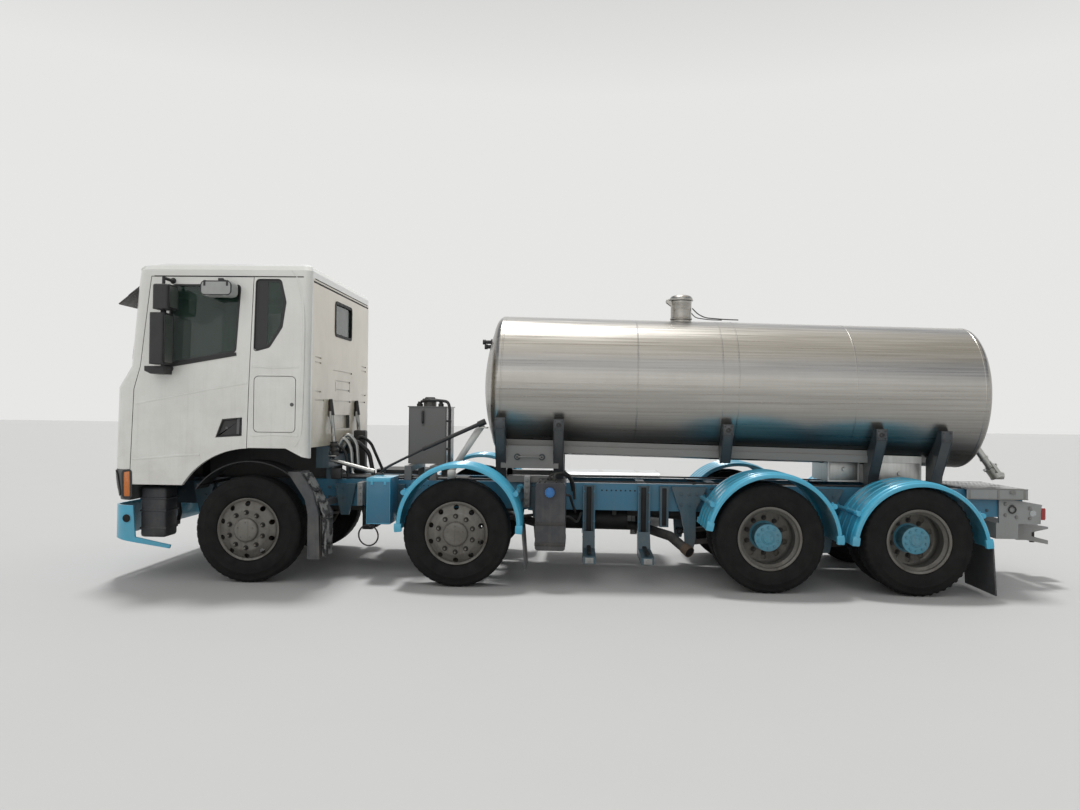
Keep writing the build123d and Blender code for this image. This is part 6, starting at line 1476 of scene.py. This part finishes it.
# Columns: first hole from axle 1, spacing, count, height, radius, sides
holeRows = ((-3.38, 0.048, 9, 0.868, 0.0085, 14), (-1.35, 0.048, 6, 0.885, 0.0075, 12),
            (-4.05, 0.062, 20, 0.895, 0.0075, 12))
for side, word in sides:
    for first, spacing, count, z, radius, segments in holeRows:
        for n in range(count):
            foot = fromAxle(first - spacing * n, side * (railY - 0.0005), z)
            addStub(mesh, foot, (0, side * 0.0012, 0), radius, segments=segments)
finishPiece(mesh, "railHoleShade", "chassis", "sealRubberAndShade")
mesh = bmesh.new()
for side, word in sides:
    for column, x in enumerate((-4.22, -4.29, -4.36, -4.43, -4.50)):
        heights = [z for row, z in enumerate((0.720, 0.785, 0.850, 0.905)) if (column + row) % 2 or row == 3]
        addSideBolts(mesh, (x,), heights, railY, side, 0.013, 0.011)
    addSideBolts(mesh, (-5.45, -5.60, -5.75, -6.95, -7.10, -7.25), (0.73, 0.87), railY, side, 0.012, 0.010)
    for base in (0.650, -0.650, -1.340, -2.640):
        addSideBolts(mesh, (base - 0.07, base, base + 0.07), (0.760, 0.860), webY, side, 0.013, 0.011)
    for base in (-4.240, -5.605):
        addSideBolts(mesh, (base - 0.10, base - 0.02, base + 0.06), (0.740, 0.850), webY, side, 0.013, 0.011)
finishPiece(mesh, "frameBolts", "chassis", "shadedBracketBlue")

# Empty tank brackets: rubber strips, feet and bolted flanges
strip, foot, flange = (bmesh.new() for n in range(3))
for side, word in sides:
    for x in (-3.248, -3.806):
        addPlates(strip, ((x - 0.020, 0.5005, 0.312, x + 0.020, 1.040, 0.326, 0.004),
                          (x - 0.024, 0.4425, 0.345, x + 0.024, 0.4560, 0.905, 0.004)), side)
        addPlates(foot, ((x - 0.040, 1.049, 0.222, x + 0.040, 1.0565, 0.276, 0.002),), side)
        addSideBolts(foot, (x,), (0.250,), 1.0565, side, 0.011, 0.009)
        for edge in (-1, 1):
            middle = x + edge * 0.0585
            addPlates(flange, ((middle - 0.0035, webY, 0.300, middle + 0.0035, 0.5045, 0.915, 0.001),), side)
            addSideBolts(flange, (x + edge * 0.0535,), (0.400, 0.560, 0.860), 0.5000, side, 0.008, 0.007)
    addPlates(strip, ((-4.032, webY, 0.525, -3.988, 0.5060, 0.905, 0.002),), side)
finishPiece(strip, "bracketStrips", "chassis", "sealRubberAndShade")
finishPiece(foot, "bracketFeet", "chassis", "greyPaint")
finishPiece(flange, "bracketFlanges", "chassis", "frameBlue")

# Air lines along both rails, the brake chambers between them, and the bolts over the front springs
mesh = bmesh.new()
for side, word in sides:
    for y, z, r in ((0.412, 0.952, 0.0075), (0.396, 0.955, 0.006), (0.380, 0.952, 0.0075)):
        addTubes(mesh, ((r, (-3.05, y, z), (-4.0, y - 0.004, z + 0.004), (-5.0, y, z), (-7.0, y, z)),), 0.2, side, 8)
    for x in (-4.76, -6.125):
        addRods(mesh, (((x, 0.31, 0.60), (x + 0.13, 0.31, 0.615), 0.085, None, 28),
                       ((x + 0.055, 0.31, 0.606), (x + 0.075, 0.31, 0.609), 0.094, None, 28)), side)
        addTubes(mesh, ((0.009, (x + 0.10, 0.31, 0.69), (x + 0.13, 0.31, 0.79), (x + 0.30, 0.36, 0.90),
                         (x + 0.45, 0.37, 0.94)),), 0.06, side)
finishPiece(mesh, "airLines", "chassis", "blackPlastic")
mesh = bmesh.new()
for side, word in sides:
    for x in (-0.055, 0.055, -2.045, -1.935):
        hoop = ((x, 0.385, 0.380), (x, 0.385, 0.640), (x, 0.475, 0.640), (x, 0.475, 0.380))
        addTube(mesh, placed(hoop, side), 0.011, 0.03)
finishPiece(mesh, "springBolts", "chassis", "chassisBlack")

# Exhaust outlet: open pipe end with a rusty lip, and a dark disc across its mouth for the soot and painted shade inside
# the pipe
lipProfile = ((-0.080, 0.0485), (-0.080, 0.0535), (0.004, 0.0545), (0.006, 0.052), (0.004, 0.0470), (-0.004, 0.0455),
              (-0.004, 0.0484))
mesh = bmesh.new()
mouth = bmesh.new()
pipeStart, pipeEnd = placed(((-4.060, 0.640, 0.440), (-4.220, 0.880, 0.320)))
fall = (pipeEnd - pipeStart).normalized()
addLathe(mesh, lipProfile, pipeEnd, fall, 40)
addRod(mouth, pipeEnd + fall * 0.0001, pipeEnd + fall * 0.0008, 0.0460, segments=32)
finishPiece(mesh, "exhaustLip", "chassis", "rustyIron")
finishPiece(mouth, "exhaustMouthSootAndShade", "chassis", "sealRubberAndShade")
print("frame dressed")

# Rear: folded deck edges, latch and tread
mesh = bmesh.new()
for side, word in sides:
    addPlates(mesh, ((-7.622, 0.4975, 0.945, -7.018, 0.5035, 0.9545, 0.002),
                     (-7.622, webY, 0.846, -7.018, 0.5035, 0.856, 0.001)), side)
    for x in (-7.05, -7.33, -7.59):
        addPlates(mesh, ((x - 0.012, webY, 0.855, x + 0.012, 0.5030, 0.946, 0.001),), side)
    addPlates(mesh, ((-7.50, webY, 0.905, -7.44, 0.5105, 0.935, 0.003),), side)
    latchBar = ((-7.49, 0.508, 0.915), (-7.49, 0.522, 0.912), (-7.45, 0.522, 0.912), (-7.45, 0.508, 0.915))
    addTube(mesh, placed(latchBar, side), 0.004, 0.01)
    for x, z in ((-7.42, 0.69), (-7.42, 0.80), (-7.53, 0.67), (-7.66, 0.66), (-7.66, 0.76)):
        addSideBolts(mesh, (x,), (z,), 0.4550, side, 0.013, 0.011)
addPlates(mesh, ((-7.600, -0.470, 0.9515, -7.040, 0.470, 0.9545, 0.001),))
deckPlaces = [(-7.07 - 0.062 * row, -0.42 + 0.105 * column + 0.05 * (row % 2))
              for row in range(9) for column in range(9)]
addLozenges(mesh, [place for place in deckPlaces if abs(place[1]) < 0.45], 1, 0.9540, 0.0030, 0.014, 0.009)
finishPiece(mesh, "deckPlate", "chassis", "paleGrey")

# Coupling: lifting rings on the drawbar plates, and the jaw's pin guide with its lever
mesh = bmesh.new()
for side, word in sides:
    addHoop(mesh, fromAxle(-7.485, side * 0.466, 0.745), (0.034, 0, 0.034), (0.007, 0.007), side)
    addPlates(mesh, ((-7.500, 0.4545, 0.775, -7.470, 0.474, 0.792, 0.002),), side)
addRods(mesh, (((-7.913, 0, 0.362), (-7.913, 0, 0.566), 0.0245, None, 28),
               ((-7.913, 0, 0.5485), (-7.913, 0, 0.585), 0.040, 0.034, 28)))
addTubes(mesh, ((0.010, (-7.913, 0, 0.580), (-7.903, 0.03, 0.625), (-7.863, 0.11, 0.640)),), 0.03)
finishPiece(mesh, "couplingFittings", "chassis", "chassisBlack")

# Reflectors and the lenses of the rear lamps
reflectors, redLenses, amberLenses = (bmesh.new() for n in range(3))
for side, word in sides:
    addStub(reflectors, fromAxle(-7.690, side * 0.455, 0.710), (0, side * 0.008, 0), 0.031, segments=32)
    for lenses, low, high in ((redLenses, 0.262, 0.332), (redLenses, 0.336, 0.408), (amberLenses, 0.188, 0.258)):
        addPlates(lenses, ((-7.8415, low, 0.648, -7.8365, high, 0.752, 0.003),), side)
finishPiece(reflectors, "reflectors", "chassis", "clearLens")
finishPiece(redLenses, "rearLenses", "chassis", "redLens")
finishPiece(amberLenses, "rearTurnLenses", "chassis", "amberLens")

# Outlet: clamps and flange with bolts, lever, and a raised panel with a knob on each discharge box
outletStart, outletEnd = placed(((-7.180, 0, 1.560), (-7.545, 0, 1.045)))
fall = (outletEnd - outletStart).normalized()
turn = ringFrame(fall)
mesh = bmesh.new()
for along in (0.060, 0.40, 0.50):
    middle = outletStart + fall * along
    addRod(mesh, middle - fall * 0.010, middle + fall * 0.010, 0.046, segments=32)
for low, high, radius in ((-0.120, -0.108, 0.074), (-0.012, 0.001, 0.066)):
    addRod(mesh, outletEnd + fall * low, outletEnd + fall * high, radius, segments=36)
for a in circleAngles(6):
    addBolt(mesh, outletEnd - fall * 0.120 + turn @ Vector((0.065 * cos(a), 0.065 * sin(a), 0)), -fall, 0.007, 0.006)
lever = ((0.060, 0.060), (0.060, 0.095), (0.20, 0.100))
addTube(mesh, [outletEnd - fall * along + Vector((0, y, 0)) for along, y in lever], 0.009, bend=0.02)
# Columns of the boxes: rear end, front end, half width, bottom, top
for low, high, half, bottom, top in ((-6.610, -6.160, 0.400, 0.955, 1.300), (-6.020, -5.700, 0.300, 0.985, 1.320)):
    for side, word in sides:
        panelRow = (low + 0.020, half - 0.001, bottom + 0.020, high - 0.020, half + 0.006, top - 0.110, 0.004)
        addPlates(mesh, (panelRow,), side)
        knob = fromAxle((low + high) / 2, side * (half + 0.005), bottom + 0.130)
        addStub(mesh, knob, (0, side * 0.017, 0), 0.022, 0.018, 24)
finishPiece(mesh, "outletFittings", "chassis", "plainSteel")
print("rear dressed")

# Fuel tank on the right: straps with tensioners, seams and filler cap
strapOutline = roundedOutline(((-1.150, 0.370), (-0.520, 0.370), (-0.520, 0.990), (-1.150, 0.990)), 0.190, 8)
# Columns: growth of the outline, distance along the tank
strapLayers = ((0.0005, -0.022), (0.0035, -0.022), (0.0035, 0.022), (0.0005, 0.022))
seamLayers = ((0.0, -0.004), (0.004, -0.003), (0.004, 0.003), (0.0, 0.004))
mesh = bmesh.new()
for x in (-2.980, -3.400, -3.820):
    addLayers(mesh, strapOutline, lambda y, z, out: fromAxle(x + out, y, z), strapLayers, True)
    addStub(mesh, fromAxle(x, -1.156, 0.50), (0, 0, 0.12), 0.008, segments=10)
for x in (-2.745, -4.055):
    addLayers(mesh, strapOutline, lambda y, z, out: fromAxle(x + out, y, z), seamLayers, True)
fuelSteps = ((0, 0.020, 0.062, 0.058, 32), (0.020, 0.030, 0.030, 0.030, 6))
addCap(mesh, fromAxle(-2.910, -0.800, 1.0145), (0, 0, 1), fuelSteps)
finishPiece(mesh, "fuelTankStraps", "chassis", "plainSteel")

# Heat shield of the silencer: ribs and bolts
mesh = bmesh.new()
for row in range(7):
    z = 0.50 + 0.062 * row
    addPlates(mesh, ((-1.310, -1.1235, z, -0.880, -1.1190, z + 0.030, 0.002),))
addSideBolts(mesh, (-1.290, -1.095, -0.900), (0.470, 0.945), 1.1195, -1, 0.009, 0.007)
finishPiece(mesh, "silencerShield", "chassis", "plainSteel")
print("right side dressed")

# Floor, and the pale room that shows in metal and glass
floorColour = studio["floorColour"]
floorMesh = bpy.data.meshes.new("floor")
floorMesh.from_pydata([(-90, -90, 0), (90, -90, 0), (90, 90, 0), (-90, 90, 0)], [], [(0, 1, 2, 3)])
floor = bpy.data.objects.new("floor", floorMesh)
bpy.context.scene.collection.objects.link(floor)
floorTree, floorShader = newFinish("floorFinish", Roughness=0.75)
floorPatches = noise(floorTree, onObject(floorTree), 0.8, 3)
floorTone = mixColour(floorTree, floorPatches, tuple(c * 0.97 for c in floorColour), floorColour)
feed(floorTree, floorTone, floorShader.inputs["Base Color"])
floorMesh.materials.append(finishes["floorFinish"])

world = bpy.data.worlds.new("studio")
bpy.context.scene.world = world
world.use_nodes = True
roomTree = world.node_tree
background = roomTree.nodes["Background"]
upward = axisOf(roomTree, addNode(roomTree, "ShaderNodeTexCoord").outputs["Generated"], "Z")
feed(roomTree, ramp(roomTree, upward, -0.05, 0.75, 0.55, 1.0), background.inputs["Color"])
background.inputs["Strength"].default_value = studio["worldStrength"]
# what the camera and shiny surfaces see: pale low down, a soft blue band higher up, bright overhead
bands = addNode(roomTree, "ShaderNodeValToRGB", {0: upward})
for position, colour in studio["bands"]:
    stop = bands.color_ramp.elements.new(position)
    stop.color = (*colour, 1)
for stop in (bands.color_ramp.elements[-1], bands.color_ramp.elements[0]):
    bands.color_ramp.elements.remove(stop)
seen = addNode(roomTree, "ShaderNodeBackground", {"Color": bands.outputs[0]})
path = addNode(roomTree, "ShaderNodeLightPath").outputs
direct = combine(roomTree, "MAXIMUM", path["Is Camera Ray"], path["Is Glossy Ray"])
direct = combine(roomTree, "MAXIMUM", direct, path["Is Transmission Ray"])
choose = addNode(roomTree, "ShaderNodeMixShader", {0: direct})
roomTree.links.new(background.outputs[0], choose.inputs[1])
roomTree.links.new(seen.outputs[0], choose.inputs[2])
feed(roomTree, choose.outputs[0], roomTree.nodes["World Output"].inputs["Surface"])
print("floor and room placed")

bpy.context.view_layer.update()
